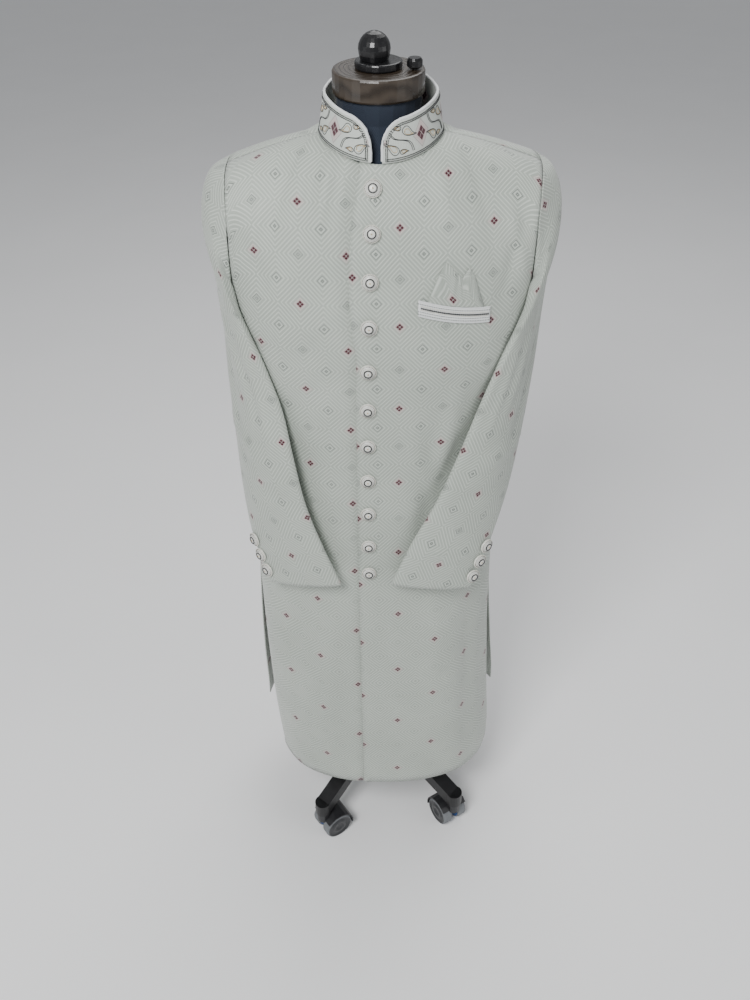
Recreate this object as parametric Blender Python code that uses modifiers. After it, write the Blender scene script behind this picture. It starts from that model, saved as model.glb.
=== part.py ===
"""A sherwani that hangs on a limbless dress form, on a stand with four castors.

Metres, +Z up. The front of the coat faces -Y and the wearer's left is +X. The origin is on the
floor, under the form's pole. Each piece of the coat is an open surface, its inner face, that a
Solidify modifier grows outwards to the wall of the cloth. The sleeves are lofted wall by wall.
"""
import math

import bmesh
import bpy
import numpy as np
from mathutils import Matrix, Vector

# Driving sizes of the cloth
CLOTH = 0.002
COLLAR_WALL = 0.003
SEAM_GAP = 0.0003
LAY_GAP = 0.0004
HEM_HEIGHT = 0.19
UNDERARM_HEIGHT = 1.11
SLIT_TOP = 0.66

# The inner face of the coat from hem to underarm, one row for each level
COAT_RINGS = dict(
    columns=("height", "centre_x", "half_width", "front", "back", "squareness"),
    rows=(
        (0.19, 0.002, 0.205, 0.160, 0.158, 2.40),
        (0.35, -0.006, 0.203, 0.155, 0.155, 2.40),
        (0.52, -0.012, 0.200, 0.151, 0.151, 2.40),
        (0.70, -0.012, 0.198, 0.148, 0.148, 2.30),
        (0.82, -0.012, 0.191, 0.142, 0.138, 2.30),
        (0.92, -0.009, 0.184, 0.136, 0.126, 2.30),
        (1.02, -0.004, 0.193, 0.136, 0.124, 2.45),
        (1.11, 0.002, 0.206, 0.138, 0.126, 2.70),
    ),
)
# Below the slits the back hangs wider and squarer than the fronts
BACK_FLARE = 0.034
BACK_HEM_SQUARENESS = 3.6
# The slit edges as angles round from the coat's front centre, at the slit's top and at the hem
SLIT_EDGES = dict(
    columns=("piece", "side", "at_top", "at_hem"),
    rows=(
        ("front", -1, 90.0, 70.0),
        ("front", 1, 90.0, 97.0),
        ("back", -1, 90.0, 101.0),
        ("back", 1, 90.0, 116.0),
    ),
)
# The free edge of the left front: how far it lies from the form's axis, by height
PLACKET_EDGE = dict(
    columns=("height", "x"),
    rows=((0.19, -0.037), (0.75, -0.037), (1.02, -0.035), (1.20, -0.030), (1.36, -0.024)),
)
UNDERLAP = 0.045
UNDERLAP_DROP = CLOTH + 0.0010
UNDERLAP_DROP_AT_NECK = 0.0012
UNDERLAP_RAMP = 0.014

# Neckline, shoulders and armholes
NECK = dict(x=0.003, y=-0.002, half_width=0.079, front=0.076, back=0.074)
NECK_HEIGHT = dict(front=1.350, side=1.366, back=1.384)
SHOULDER_END = dict(x=0.2085, y=0.002, height=1.325, shift=0.0065)
SHOULDER_CROWN = 0.003
NECK_ANGLE = 45.0
CHEST_ROUNDNESS = 0.30
CHEST_DRAW = 1.6
ARMHOLE_REACH = 3
ARMHOLE = dict(front_bulge=0.080, back_bulge=0.078, front_inset=0.004, back_inset=0.006)
ARMHOLE_FULLNESS = 0.6

# The large soft folds: outward height of each wave, round angle and reach up the coat
FOLDS = dict(
    columns=("piece", "angle", "low", "high", "half_angle", "height"),
    rows=(
        ("front", -46, 0.17, 0.62, 16, 0.004),
        ("front", 38, 0.17, 0.66, 15, 0.005),
        ("front", 72, 0.17, 0.60, 12, -0.004),
        ("front", 24, 0.66, 1.02, 11, -0.004),
        ("front", -62, 0.70, 1.05, 12, 0.003),
        ("back", 160, 0.17, 0.80, 13, 0.006),
        ("back", -163, 0.17, 0.72, 12, 0.006),
        ("back", 134, 0.17, 0.55, 12, -0.005),
        ("back", -138, 0.17, 0.60, 12, -0.005),
        ("back", 180, 0.85, 1.02, 22, -0.003),
    ),
)

# How a place on the front is searched for, and the highest level at which it has a normal
SEARCH = dict(rounds=60, turn=3.0, rise=1.0)
NORMAL_STEP = dict(front=0.004, sleeve=0.02, cuff=0.01)
BELOW_TOP = 1.99

# Rows of points up the coat
LOWER_ROWS = (0.19, 0.28, 0.38, 0.48, 0.58, 0.66, 0.76, 0.86, 0.94, 1.02, 1.11)
UPPER_ROWS = (0.16, 0.32, 0.47, 0.62, 0.76, 0.89, 1.0)
FRONT_COLUMNS_TO_NECK = 5
FRONT_COLUMNS_TO_SIDE = 5

# The standing collar
COLLAR = dict(height=0.051, end_height=0.0185, end_round=0.030, lean_side=0.008, lean_front=0.003)
COLLAR_ENDS = (0.5, -9.5)
COLLAR_COLUMNS = 30
COLLAR_CROWDING = 0.064

# The sleeves, one row for each ring below the armhole. Lengths are full lengths: "thick" from the
# inner to the outer face, "rise" how much higher the outer face lies, "length" from the back to the
# front edge, "turn" how far the front edge swings towards the coat's front, "bow" the curl round
# the body, "dip" how much higher the front edge lies than the back edge and "tuck" how far the
# front edge is drawn in towards the coat.
SLEEVE_COLUMNS = ("out", "y", "height", "thick", "rise", "length", "turn", "bow", "dip", "tuck")
SLEEVE_RIGHT = (
    (0.2135, 0.000, 1.2110, 0.017, 0.216, 0.162, 0, 0.000, 0.000, 0.008),
    (0.2185, -0.001, 1.1880, 0.031, 0.204, 0.162, 2, 0.000, 0.002, 0.014),
    (0.2165, -0.006, 1.1570, 0.035, 0.176, 0.168, 6, 0.002, 0.006, 0.014),
    (0.2110, -0.016, 1.1200, 0.028, 0.130, 0.170, 13, 0.007, 0.010, 0.010),
    (0.1980, -0.031, 1.0750, 0.024, 0.078, 0.166, 22, 0.013, 0.012, 0.003),
    (0.1860, -0.055, 1.0050, 0.022, 0.032, 0.156, 32, 0.020, 0.016, 0.000),
    (0.1770, -0.081, 0.9300, 0.020, 0.012, 0.149, 38, 0.022, 0.022, 0.000),
    (0.1670, -0.107, 0.8500, 0.018, 0.004, 0.141, 47, 0.018, 0.026, 0.000),
    (0.1490, -0.131, 0.7750, 0.016, 0.000, 0.134, 59, 0.010, 0.028, 0.000),
    (0.1230, -0.150, 0.7010, 0.014, 0.000, 0.127, 68, 0.004, 0.032, 0.000),
)
SLEEVE_LEFT = (
    (0.2225, 0.000, 1.2110, 0.020, 0.216, 0.160, 0, 0.000, 0.000, 0.011),
    (0.2275, -0.001, 1.1880, 0.034, 0.204, 0.158, 3, 0.000, 0.002, 0.019),
    (0.2235, -0.007, 1.1570, 0.038, 0.176, 0.164, 7, 0.002, 0.006, 0.016),
    (0.2150, -0.018, 1.1200, 0.032, 0.130, 0.166, 15, 0.007, 0.010, 0.009),
    (0.2010, -0.033, 1.0750, 0.026, 0.078, 0.160, 24, 0.013, 0.012, 0.003),
    (0.1850, -0.056, 1.0050, 0.022, 0.032, 0.147, 34, 0.019, 0.016, 0.000),
    (0.1660, -0.084, 0.9300, 0.020, 0.012, 0.139, 45, 0.019, 0.022, 0.000),
    (0.1410, -0.113, 0.8500, 0.018, 0.004, 0.136, 57, 0.015, 0.026, 0.000),
    (0.1090, -0.139, 0.7750, 0.016, 0.000, 0.133, 71, 0.009, 0.028, 0.000),
    (0.0790, -0.156, 0.6990, 0.014, 0.000, 0.131, 80, 0.004, 0.028, 0.000),
)
SLEEVES = {"right": (-1, SLEEVE_RIGHT), "left": (1, SLEEVE_LEFT)}
ARMHOLE_STEP = 0.0024
SLEEVE_SEAM = 0.355
SLEEVE_TOP_COLUMNS = 13
SLEEVE_UNDER_COLUMNS = 7
SLEEVE_GIRTH = 0.12
SLEEVE_SQUARENESS = 0.55
SLEEVE_REST = 0.0054
GUARD_TOP = 1.24
GUARD_SWELL = 0.007

# Breast pocket, on the wearer's left front
WELT = dict(inner_x=0.050, outer_x=0.146, inner_height=1.190, outer_height=1.172, width=0.0215,
            columns=8)
WELT_WALL = 0.002
WELT_SAG = 0.003
SQUARE = dict(wall=0.0018, foot=0.0005, columns=12, rows=(0.0, 0.35, 0.7, 1.0))
SQUARE_TOP = dict(
    columns=("along", "height"),
    rows=((0.14, 0.004), (0.36, 0.056), (0.45, 0.052), (0.60, 0.038), (0.69, 0.052), (0.76, 0.043),
          (0.90, 0.003)),
)
PATCH_LIFT = LAY_GAP + 0.0004

# Buttons: heights of the eleven down the front, and places on the cuffs
BUTTON = dict(radius=0.0115, height=0.0075, sides=12)
BUTTON_INSET = 0.0165
FRONT_BUTTON_HEIGHTS = (1.3245, 1.274, 1.2145, 1.152, 1.085, 1.021, 0.958, 0.896, 0.836, 0.774, 0.720)
CUFF_BUTTON_LIFT = 0.0014
CUFF_BUTTONS = dict(
    columns=("along", "round"),
    rows=((0.905, 0.835), (0.938, 0.835), (0.971, 0.835)),
)

# Dress form
FORM_SHRINK = 0.010
FORM_SHOULDER_GAP = 0.0009
FORM_NECK_IN = (0.008, 0.002)
FORM_BOTTOM = 0.72
FORM_NECK = dict(radius=0.0555, top=1.4160, rings=((0.45, 0.35), (1.0, 0.62), (1.0, 1.0)))
BOARD = dict(thickness=0.012, inset=0.012)
CAP = dict(radius=0.0595, height=0.0295, edge=0.003)
FLANGE = dict(radius=0.0305, height=0.0095, edge=0.002)
BALL = dict(radius=0.0207, straight=0.013, waist=0.96, foot=0.86, out=-0.005)
LOCK = dict(out=0.0455, y=-0.010, radius=0.0100, length=0.014, stem=0.0035, lift=0.002, end=0.8,
            top_edge=0.003, foot_edge=0.002)

# Stand
POLE = dict(radius=0.0140, bottom=0.150)
POLE_SLEEVE = dict(radius=0.021, height=0.045)
HUB = dict(radius=0.033, bottom=0.122, top=0.186)
LEG = dict(reach=0.186, width=0.029, depth=0.029, end_height=0.0830, hub_height=0.157,
           end_radius=0.0154, end_rise=0.001)
BASE_TURN = math.radians(4.5)
SEAT_GAP = 0.0003
CUT_PAST = 0.02
WHEEL = dict(radius=0.0290, width=0.0200, gap=0.0140, sides=18, dish=0.55, rim=0.90, inner_rim=0.92,
             dish_depth=0.002, outer_edge=0.0025, inner_edge=0.001)
AXLE = dict(radius=0.0040, clearance=0.0004)
TRAIL = 0.020
HOOD = dict(web=0.0124, wall=0.0024, room=0.0013, first=-12, last=138, steps=8, neck=0.0125,
            neck_length=0.024)
WEB_FOOT = ((-0.012, -0.010), (0.004, -0.013), (0.014, -0.012))
STEM = dict(radius=0.0050, length=0.018, root=0.010, headroom=0.001, clearance=0.0004)
CASTOR_TURNS = (2.14, 3.49, 5.24, 0.61)

COLOURS = {
    "cloth": ((0.78, 0.80, 0.76), 0.55, 0.0),
    "button": ((0.72, 0.70, 0.62), 0.45, 0.2),
    "form": ((0.018, 0.024, 0.045), 0.75, 0.0),
    "wood": ((0.10, 0.070, 0.052), 0.45, 0.0),
    "black plastic": ((0.012, 0.012, 0.013), 0.30, 0.0),
    "black metal": ((0.016, 0.016, 0.018), 0.40, 0.6),
    "steel": ((0.55, 0.55, 0.56), 0.30, 1.0),
    "tyre": ((0.045, 0.047, 0.050), 0.60, 0.0),
}


# Scene, collections and materials
for old in list(bpy.data.objects):
    bpy.data.objects.remove(old)
parts = bpy.data.collections.new("sherwani_on_dress_form")
cutters = bpy.data.collections.new("cutters")
bpy.context.scene.collection.children.link(parts)
bpy.context.scene.collection.children.link(cutters)


def finish(obj, name, look, smooth=40.0):
    """Names an object, puts it in the parts collection and gives it its own material."""
    obj.name = name
    obj.data.name = name
    for holder in list(obj.users_collection):
        holder.objects.unlink(obj)
    parts.objects.link(obj)
    colour, roughness, metallic = COLOURS[look]
    material = bpy.data.materials.new(name)
    material.use_nodes = True
    shader = material.node_tree.nodes["Principled BSDF"]
    shader.inputs["Base Color"].default_value = (*colour, 1.0)
    shader.inputs["Roughness"].default_value = roughness
    shader.inputs["Metallic"].default_value = metallic
    obj.data.materials.clear()
    obj.data.materials.append(material)
    obj.data.shade_smooth()
    obj.data.set_sharp_from_angle(angle=math.radians(smooth))
    return obj


def as_cutter(obj):
    """Keeps an object only as a cutting tool."""
    for holder in list(obj.users_collection):
        holder.objects.unlink(obj)
    cutters.objects.link(obj)
    obj.hide_render = True
    obj.display_type = "WIRE"
    return obj


def boolean(obj, tool, operation):
    """Cuts the tool out of the object, or joins it on."""
    modifier = obj.modifiers.new(operation.lower(), "BOOLEAN")
    modifier.operation = operation
    modifier.solver = "EXACT"
    modifier.object = as_cutter(tool)


# Tables and smooth curves through them
def column(table, name):
    place = table["columns"].index(name)
    return [row[place] for row in table["rows"]]


def smooth_value(at, places, values):
    """Reads a smooth curve through the given places, with level ends."""
    if at <= places[0]:
        return values[0]
    if at >= places[-1]:
        return values[-1]
    last = len(places) - 1
    k = max(i for i in range(last) if places[i] <= at)
    span = places[k + 1] - places[k]
    slopes = []
    for i in (k, k + 1):
        if i in (0, last):
            slopes.append(0.0)
        else:
            slopes.append((values[i + 1] - values[i - 1]) / (places[i + 1] - places[i - 1]))
    t = (at - places[k]) / span
    rise = values[k + 1] - values[k]
    start, end = slopes[0] * span, slopes[1] * span
    return (values[k] + start * t + (3 * rise - 2 * start - end) * t * t
            + (start + end - 2 * rise) * t ** 3)


def from_table(table, name, at):
    return smooth_value(at, column(table, table["columns"][0]), column(table, name))


def ease(t):
    t = min(max(t, 0.0), 1.0)
    return t * t * (3 - 2 * t)


def power(value, exponent):
    return math.copysign(abs(value) ** exponent, value)


# The coat's surface
def ring_at(height, piece):
    """The oval of the coat at a height: centre, half width, front, back and squareness."""
    ring = {name: from_table(COAT_RINGS, name, height) for name in COAT_RINGS["columns"][1:]}
    if piece == "back" and height < SLIT_TOP:
        open_part = (SLIT_TOP - height) / (SLIT_TOP - HEM_HEIGHT)
        ring["half_width"] += BACK_FLARE * open_part
        ring["squareness"] += (BACK_HEM_SQUARENESS - ring["squareness"]) * open_part
    return ring


def on_ring(ring, angle, shrink=0.0):
    """A point of the oval, by its angle round from the front centre towards +X."""
    reach = 2.0 / ring["squareness"]
    sine, cosine = math.sin(angle), math.cos(angle)
    depth = ring["front"] if cosine > 0 else ring["back"]
    x = ring["centre_x"] + (ring["half_width"] - shrink) * power(sine, reach)
    y = -(depth - shrink) * power(cosine, reach)
    return x, y


def fold_height(piece, angle, height):
    """How far the soft folds lift the cloth here."""
    lift = 0.0
    for name, middle, low, high, half_angle, rise in FOLDS["rows"]:
        if name != piece:
            continue
        off = math.degrees(angle) - middle
        off = abs((off + 180) % 360 - 180) / half_angle
        if off < 1 and low < height < high:
            along = (height - low) / (high - low)
            lift += rise * (1 - off * off) ** 2 * math.sin(math.pi * along) ** 0.7
    return lift


def top_edge(angle, shrink):
    """The neckline or the shoulder seam above a column, by the column's angle."""
    turned = abs(math.degrees(angle))
    side = math.copysign(1.0, angle)
    at_back = turned > 90
    folded = 180 - turned if at_back else turned
    neck_depth = NECK["back"] if at_back else -NECK["front"]
    middle_height = NECK_HEIGHT["back"] if at_back else NECK_HEIGHT["front"]
    swing = math.radians(90 * min(folded / NECK_ANGLE, 1.0))
    neck = Vector((NECK["x"] + side * NECK["half_width"] * math.sin(swing),
                   NECK["y"] + neck_depth * math.cos(swing),
                   middle_height + (NECK_HEIGHT["side"] - middle_height) * math.sin(swing) ** 2))
    if folded > NECK_ANGLE:
        along = (folded - NECK_ANGLE) / (90 - NECK_ANGLE)
        end = Vector((SHOULDER_END["shift"] + side * (SHOULDER_END["x"] - shrink), SHOULDER_END["y"],
                      SHOULDER_END["height"]))
        neck = neck.lerp(end, along)
        neck.z += SHOULDER_CROWN * math.sin(math.pi * along)
    if shrink:
        near = max(0.0, 1 - folded / NECK_ANGLE)
        inward = FORM_NECK_IN[1] + (FORM_NECK_IN[0] - FORM_NECK_IN[1]) * near
        if folded <= NECK_ANGLE + 0.01:
            middle = Vector((NECK["x"], NECK["y"], neck.z))
            neck += (middle - neck).normalized() * inward
        neck.z -= FORM_SHOULDER_GAP + 0.5 * inward * near
    return neck, folded


def armhole_point(side, at_back, upward):
    """The armhole's edge, from the underarm (0) to the shoulder's end (1)."""
    angle = math.radians(90.001 if at_back else 89.999) * side
    low = Vector((*on_ring(ring_at(UNDERARM_HEIGHT, "front"), angle), UNDERARM_HEIGHT))
    high, _ = top_edge(angle, 0.0)
    swell = math.sin(math.pi * upward)
    bulge = ARMHOLE["back_bulge"] if at_back else -ARMHOLE["front_bulge"]
    inset = ARMHOLE["back_inset"] if at_back else ARMHOLE["front_inset"]
    rise = math.sin(upward * math.pi / 2)
    return Vector((low.x + (high.x - low.x) * upward ** CHEST_DRAW - side * inset * swell,
                   low.y + (high.y - low.y) * upward + bulge * swell ** ARMHOLE_FULLNESS,
                   low.z + (high.z - low.z) * rise))


def chest_point(angle, upward, shrink=0.0):
    """The coat above the underarm, from the chest ring (0) to the neckline and shoulders (1)."""
    base_x, base_y = on_ring(ring_at(UNDERARM_HEIGHT, "front"), angle, shrink)
    top, folded = top_edge(angle, shrink)
    roundness = CHEST_ROUNDNESS + (1 - CHEST_ROUNDNESS) * ease(folded / NECK_ANGLE)
    quarter = upward * math.pi / 2
    inward = (1 - roundness) * upward ** 2 + roundness * (1 - math.cos(quarter))
    rise = (1 - roundness) * upward + roundness * math.sin(quarter)
    point = Vector((base_x + (top.x - base_x) * upward ** CHEST_DRAW,
                    base_y + (top.y - base_y) * inward,
                    UNDERARM_HEIGHT + (top.z - UNDERARM_HEIGHT) * rise))
    if shrink:
        return point
    side = math.copysign(1.0, angle)
    at_back = abs(angle) > math.pi / 2
    edge = armhole_point(side, at_back, upward)
    straight = chest_point(math.radians(90.001 if at_back else 89.999) * side, upward, 1e-9)
    pull = (folded / 90) ** ARMHOLE_REACH
    return point + (edge - straight) * pull


def coat_point(piece, angle, level):
    """A point of the coat's inner face. Levels to 1 run from hem to underarm, then to 2 at the top."""
    if level > 1:
        return chest_point(angle, level - 1)
    height = HEM_HEIGHT + (UNDERARM_HEIGHT - HEM_HEIGHT) * level
    x, y = on_ring(ring_at(height, piece), angle)
    lift = fold_height(piece, angle, height)
    return Vector((x + lift * math.sin(angle), y - lift * math.cos(angle), height))


def level_of(height):
    return (height - HEM_HEIGHT) / (UNDERARM_HEIGHT - HEM_HEIGHT)


LEVELS = [level_of(height) for height in LOWER_ROWS] + [1 + step for step in UPPER_ROWS]


def angle_at_x(x, level):
    """The angle at which the front passes a given x, for places near the front centre."""
    ring = ring_at(HEM_HEIGHT + (UNDERARM_HEIGHT - HEM_HEIGHT) * min(level, 1.0), "front")
    share = (x - ring["centre_x"]) / ring["half_width"]
    low = math.asin(power(share, ring["squareness"] / 2))
    if level <= 1:
        return low
    share = (x - NECK["x"]) / NECK["half_width"]
    high = math.asin(share) * NECK_ANGLE / 90
    return low + (high - low) * (level - 1) ** 0.8


def slit_angle(piece, side, level):
    """Where a piece ends at the side: the side seam, or its own edge of the slit."""
    edge = next(row for row in SLIT_EDGES["rows"] if row[0] == piece and row[1] == side)
    open_part = max(0.0, (level_of(SLIT_TOP) - level) / level_of(SLIT_TOP))
    return math.radians(edge[2] + (edge[3] - edge[2]) * open_part)


def height_of_level(level):
    if level <= 1:
        return HEM_HEIGHT + (UNDERARM_HEIGHT - HEM_HEIGHT) * level
    return UNDERARM_HEIGHT + (NECK_HEIGHT["front"] - UNDERARM_HEIGHT) * (level - 1)


def seam_step(radius=0.2):
    return 0.5 * SEAM_GAP / radius


def front_columns(side, level):
    """The angles of a front's columns and how deep each goes under the other front."""
    edge_x = from_table(PLACKET_EDGE, "x", height_of_level(level))
    if side > 0:
        starts = [(edge_x, 0.0)]
    else:
        starts = [(edge_x + UNDERLAP, UNDERLAP_DROP), (edge_x + 0.5 * UNDERLAP, UNDERLAP_DROP),
                  (edge_x - 0.002, UNDERLAP_DROP), (edge_x - UNDERLAP_RAMP, 0.0)]
    columns = [(angle_at_x(x, level), drop) for x, drop in starts]
    first = columns[-1][0]
    middle = side * math.radians(NECK_ANGLE)
    last = side * (slit_angle("front", side, level) - seam_step())
    for step in range(1, FRONT_COLUMNS_TO_NECK + 1):
        columns.append((first + (middle - first) * step / FRONT_COLUMNS_TO_NECK, 0.0))
    for step in range(1, FRONT_COLUMNS_TO_SIDE + 1):
        columns.append((middle + (last - middle) * step / FRONT_COLUMNS_TO_SIDE, 0.0))
    return columns if side > 0 else columns[::-1]


def back_columns(level):
    """The back's columns, from the wearer's left side seam round to the right one."""
    angles = []
    for side in (1, -1):
        last = slit_angle("back", side, level) + seam_step()
        middle = math.radians(180 - NECK_ANGLE)
        half = [last + (middle - last) * step / FRONT_COLUMNS_TO_SIDE
                for step in range(FRONT_COLUMNS_TO_SIDE)]
        half += [middle + (math.pi - middle) * step / FRONT_COLUMNS_TO_NECK
                 for step in range(FRONT_COLUMNS_TO_NECK + 1)]
        angles.append([side * angle for angle in half])
    return angles[0][:-1] + [math.pi] + angles[1][::-1][1:]


def grid_faces(rows):
    """The triangles of a surface lofted through rows of points, cut on each shorter diagonal."""
    width = len(rows[0])
    faces = []
    for r, (low, high) in enumerate(zip(rows, rows[1:])):
        for c in range(width - 1):
            corners = [r * width + c, r * width + c + 1, (r + 1) * width + c + 1, (r + 1) * width + c]
            if (low[c] - high[c + 1]).length > (low[c + 1] - high[c]).length:
                corners = corners[1:] + corners[:1]
            faces.append((corners[0], corners[1], corners[2]))
            faces.append((corners[0], corners[2], corners[3]))
    return faces


def sheet(name, rows, wall=CLOTH):
    """A cloth wall: a surface lofted through rows of points, grown outwards to its thickness."""
    points = [tuple(point) for row in rows for point in row]
    faces = grid_faces(rows)
    mesh = bpy.data.meshes.new(name)
    mesh.from_pydata(points, [], faces)
    mesh.update()
    obj = finish(bpy.data.objects.new(name, mesh), name, "cloth")
    solid = obj.modifiers.new("wall", "SOLIDIFY")
    solid.thickness = wall
    solid.offset = 1.0


def wall_between(name, outer, inner):
    """A cloth wall from the rows of its outer face and the matching rows of its inner face."""
    height, width = len(outer), len(outer[0])
    count = height * width
    points = [tuple(point) for row in outer + inner for point in row]
    faces = grid_faces(outer)
    faces += [tuple(count + corner for corner in face[::-1]) for face in faces]
    rim = list(range(width))
    rim += [row * width + width - 1 for row in range(1, height)]
    rim += [count - 1 - step for step in range(1, width)]
    rim += [row * width for row in range(height - 2, 0, -1)]
    for here, after in zip(rim, rim[1:] + rim[:1]):
        faces.append((after, here, count + here, count + after))
    mesh = bpy.data.meshes.new(name)
    mesh.from_pydata(points, [], faces)
    finish(bpy.data.objects.new(name, mesh), name, "cloth")


def make_front(name, side):
    rows = []
    for level in LEVELS:
        row = []
        for angle, drop in front_columns(side, level):
            point = coat_point("front", angle, level)
            if drop:
                deeper = UNDERLAP_DROP_AT_NECK * max(0.0, level - 1)
                point -= front_normal(angle, min(level, BELOW_TOP)) * (drop + deeper)
            row.append(point)
        rows.append(row)
    sheet(name, rows)


def make_back():
    rows = [[coat_point("back", angle, level) for angle in back_columns(level)] for level in LEVELS]
    rows[-1] = [point + Vector((0.0, SEAM_GAP, 0.0)) for point in rows[-1]]
    sheet("back", rows)


def make_collar():
    """The standing band: it starts just above the neckline and leans in a little."""
    first, last = (math.radians(COLLAR_ENDS[0]), math.radians(360 + COLLAR_ENDS[1]))
    rows = [[], [], [], []]
    girth = math.pi * (NECK["half_width"] + NECK["front"])
    for step in range(COLLAR_COLUMNS + 1):
        t = step / COLLAR_COLUMNS
        spread = t - COLLAR_CROWDING * math.sin(2 * math.pi * t)
        angle = first + (last - first) * spread
        from_end = girth * min(spread, 1 - spread)
        height = COLLAR["height"]
        if from_end < COLLAR["end_round"]:
            back = 1 - from_end / COLLAR["end_round"]
            height = COLLAR["end_height"] + (height - COLLAR["end_height"]) * math.sqrt(1 - back ** 2)
        sine, cosine = math.sin(angle), math.cos(angle)
        depth = NECK["front"] if cosine > 0 else NECK["back"]
        middle = NECK_HEIGHT["front"] if cosine > 0 else NECK_HEIGHT["back"]
        seam = middle + (NECK_HEIGHT["side"] - middle) * sine ** 2
        base = seam + CLOTH * (0.75 + 0.25 * sine ** 2) + LAY_GAP
        for k, row in enumerate(rows):
            up = k / 3
            lean = up * height / COLLAR["height"]
            half_width = NECK["half_width"] - COLLAR["lean_side"] * lean
            reach = depth - COLLAR["lean_front"] * lean
            row.append(Vector((NECK["x"] + half_width * sine, NECK["y"] - reach * cosine,
                               base + up * height)))
    sheet("collar", rows, wall=COLLAR_WALL)


# Sleeves
def rest_on_coat(point, clear):
    """Pushes a point out to its clearance from the coat's side or front, less so up the armhole."""
    above = max(0.0, point.z - UNDERARM_HEIGHT) / (GUARD_TOP - UNDERARM_HEIGHT)
    if above >= 1:
        return point
    ring = ring_at(min(point.z, UNDERARM_HEIGHT), "front")
    clear += GUARD_SWELL * math.sin(math.pi * above)
    exponent = ring["squareness"]
    depth = (ring["front"] if point.y < 0 else ring["back"]) + clear
    width = ring["half_width"] + clear
    off = point.x - ring["centre_x"]
    share = (abs(off / width) ** exponent + abs(point.y / depth) ** exponent) ** (1 / exponent)
    if share >= 1:
        return point
    pushed = Vector((ring["centre_x"] + off / share, point.y / share, point.z))
    return point.lerp(pushed, 1 - above ** 3)


def armhole_loop(side, around):
    """The armhole as a loop: 0 at the shoulder, a quarter in front, a half at the underarm."""
    around = around % 1.0
    if around <= 0.5:
        point = armhole_point(side, False, 1 - 2 * around)
    else:
        point = armhole_point(side, True, 2 * around - 1)
    middle = 0.5 * (UNDERARM_HEIGHT + SHOULDER_END["height"])
    away = Vector((0.0, point.y, point.z - middle)).normalized()
    return point + Vector((side * ARMHOLE_STEP, 0.0, 0.0)) + away * CLOTH


def loose_point(side, ring, around):
    """A point of one ring of a sleeve before the sleeve is laid against the coat."""
    row = dict(zip(SLEEVE_COLUMNS, ring))
    turn = math.radians(row["turn"])
    cosine, sine = math.cos(2 * math.pi * around), math.sin(2 * math.pi * around)
    outward = Vector((side * math.cos(turn), -math.sin(turn), 0.0))
    forward = Vector((-side * math.sin(turn), -math.cos(turn), 0.0))
    centre = Vector((side * row["out"], row["y"], row["height"]))
    half_thick = 0.5 * row["thick"] * power(cosine, SLEEVE_SQUARENESS)
    point = centre + outward * (half_thick + row["bow"] * cosine ** 2)
    point += forward * 0.5 * row["length"] * sine
    point.x -= side * row["tuck"] * max(sine, 0.0) ** 2
    point.z += 0.5 * row["rise"] * cosine + 0.5 * row["dip"] * sine
    return point


def sleeve_point(side, table, ring_number, around):
    """A point of a sleeve's outer face. Ring 0 is the armhole, the last ring the cuff's hem."""
    if ring_number == 0:
        return armhole_loop(side, around)
    ring = table[ring_number - 1]
    point = loose_point(side, ring, around)
    on_top = math.cos(2 * math.pi * around) > 0
    under = loose_point(side, ring, 0.5 - around) if on_top else point
    return point + rest_on_coat(under, SLEEVE_REST) - under


def sleeve_normal(side, table, ring_number, around):
    """Outwards from the sleeve, found across the seams so that both pieces agree there."""
    step = NORMAL_STEP["sleeve"]
    forward = sleeve_point(side, table, ring_number, around + step)
    forward -= sleeve_point(side, table, ring_number, around - step)
    down = sleeve_point(side, table, min(ring_number + 1, len(table)), around)
    down -= sleeve_point(side, table, max(ring_number - 1, 0), around)
    return forward.cross(down).normalized() * side


def make_sleeve(word, side, table):
    half_gap = 0.5 * SEAM_GAP / SLEEVE_GIRTH
    seams = {
        "top": (-SLEEVE_SEAM + half_gap, SLEEVE_SEAM - half_gap, SLEEVE_TOP_COLUMNS),
        "under": (SLEEVE_SEAM + half_gap, 1 - SLEEVE_SEAM - half_gap, SLEEVE_UNDER_COLUMNS),
    }
    for piece, (first, last, count) in seams.items():
        columns = [first + (last - first) * step / count for step in range(count + 1)]
        if side < 0:
            columns.reverse()
        outer, inner = [], []
        for ring_number in range(len(table) + 1):
            row = [sleeve_point(side, table, ring_number, around) for around in columns]
            walls = [sleeve_normal(side, table, ring_number, around) * CLOTH for around in columns]
            outer.append(row)
            inner.append([point - wall for point, wall in zip(row, walls)])
        wall_between(f"sleeve_{word}_{piece}", outer, inner)


# Places on the left front, by x and height
def front_place(x, height):
    """The angle and level of the left front's point at an x and a height."""
    angle = math.asin(x / from_table(COAT_RINGS, "half_width", height))
    level = level_of(height)
    for _ in range(SEARCH["rounds"]):
        point = coat_point("front", angle, level)
        angle += SEARCH["turn"] * (x - point.x)
        level += SEARCH["rise"] * (height - point.z)
        level = min(level, BELOW_TOP)
    return angle, level


def front_normal(angle, level):
    """The outward direction of the front there."""
    step = NORMAL_STEP["front"]
    across = coat_point("front", angle + step, level) - coat_point("front", angle - step, level)
    up = coat_point("front", angle, level + step) - coat_point("front", angle, level - step)
    return across.cross(up).normalized()


def front_outside(x, height, off):
    """A point that lies a distance above the left front's outer face, and the normal there."""
    angle, level = front_place(x, height)
    normal = front_normal(angle, level)
    return coat_point("front", angle, level) + normal * (CLOTH + off), normal


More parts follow.
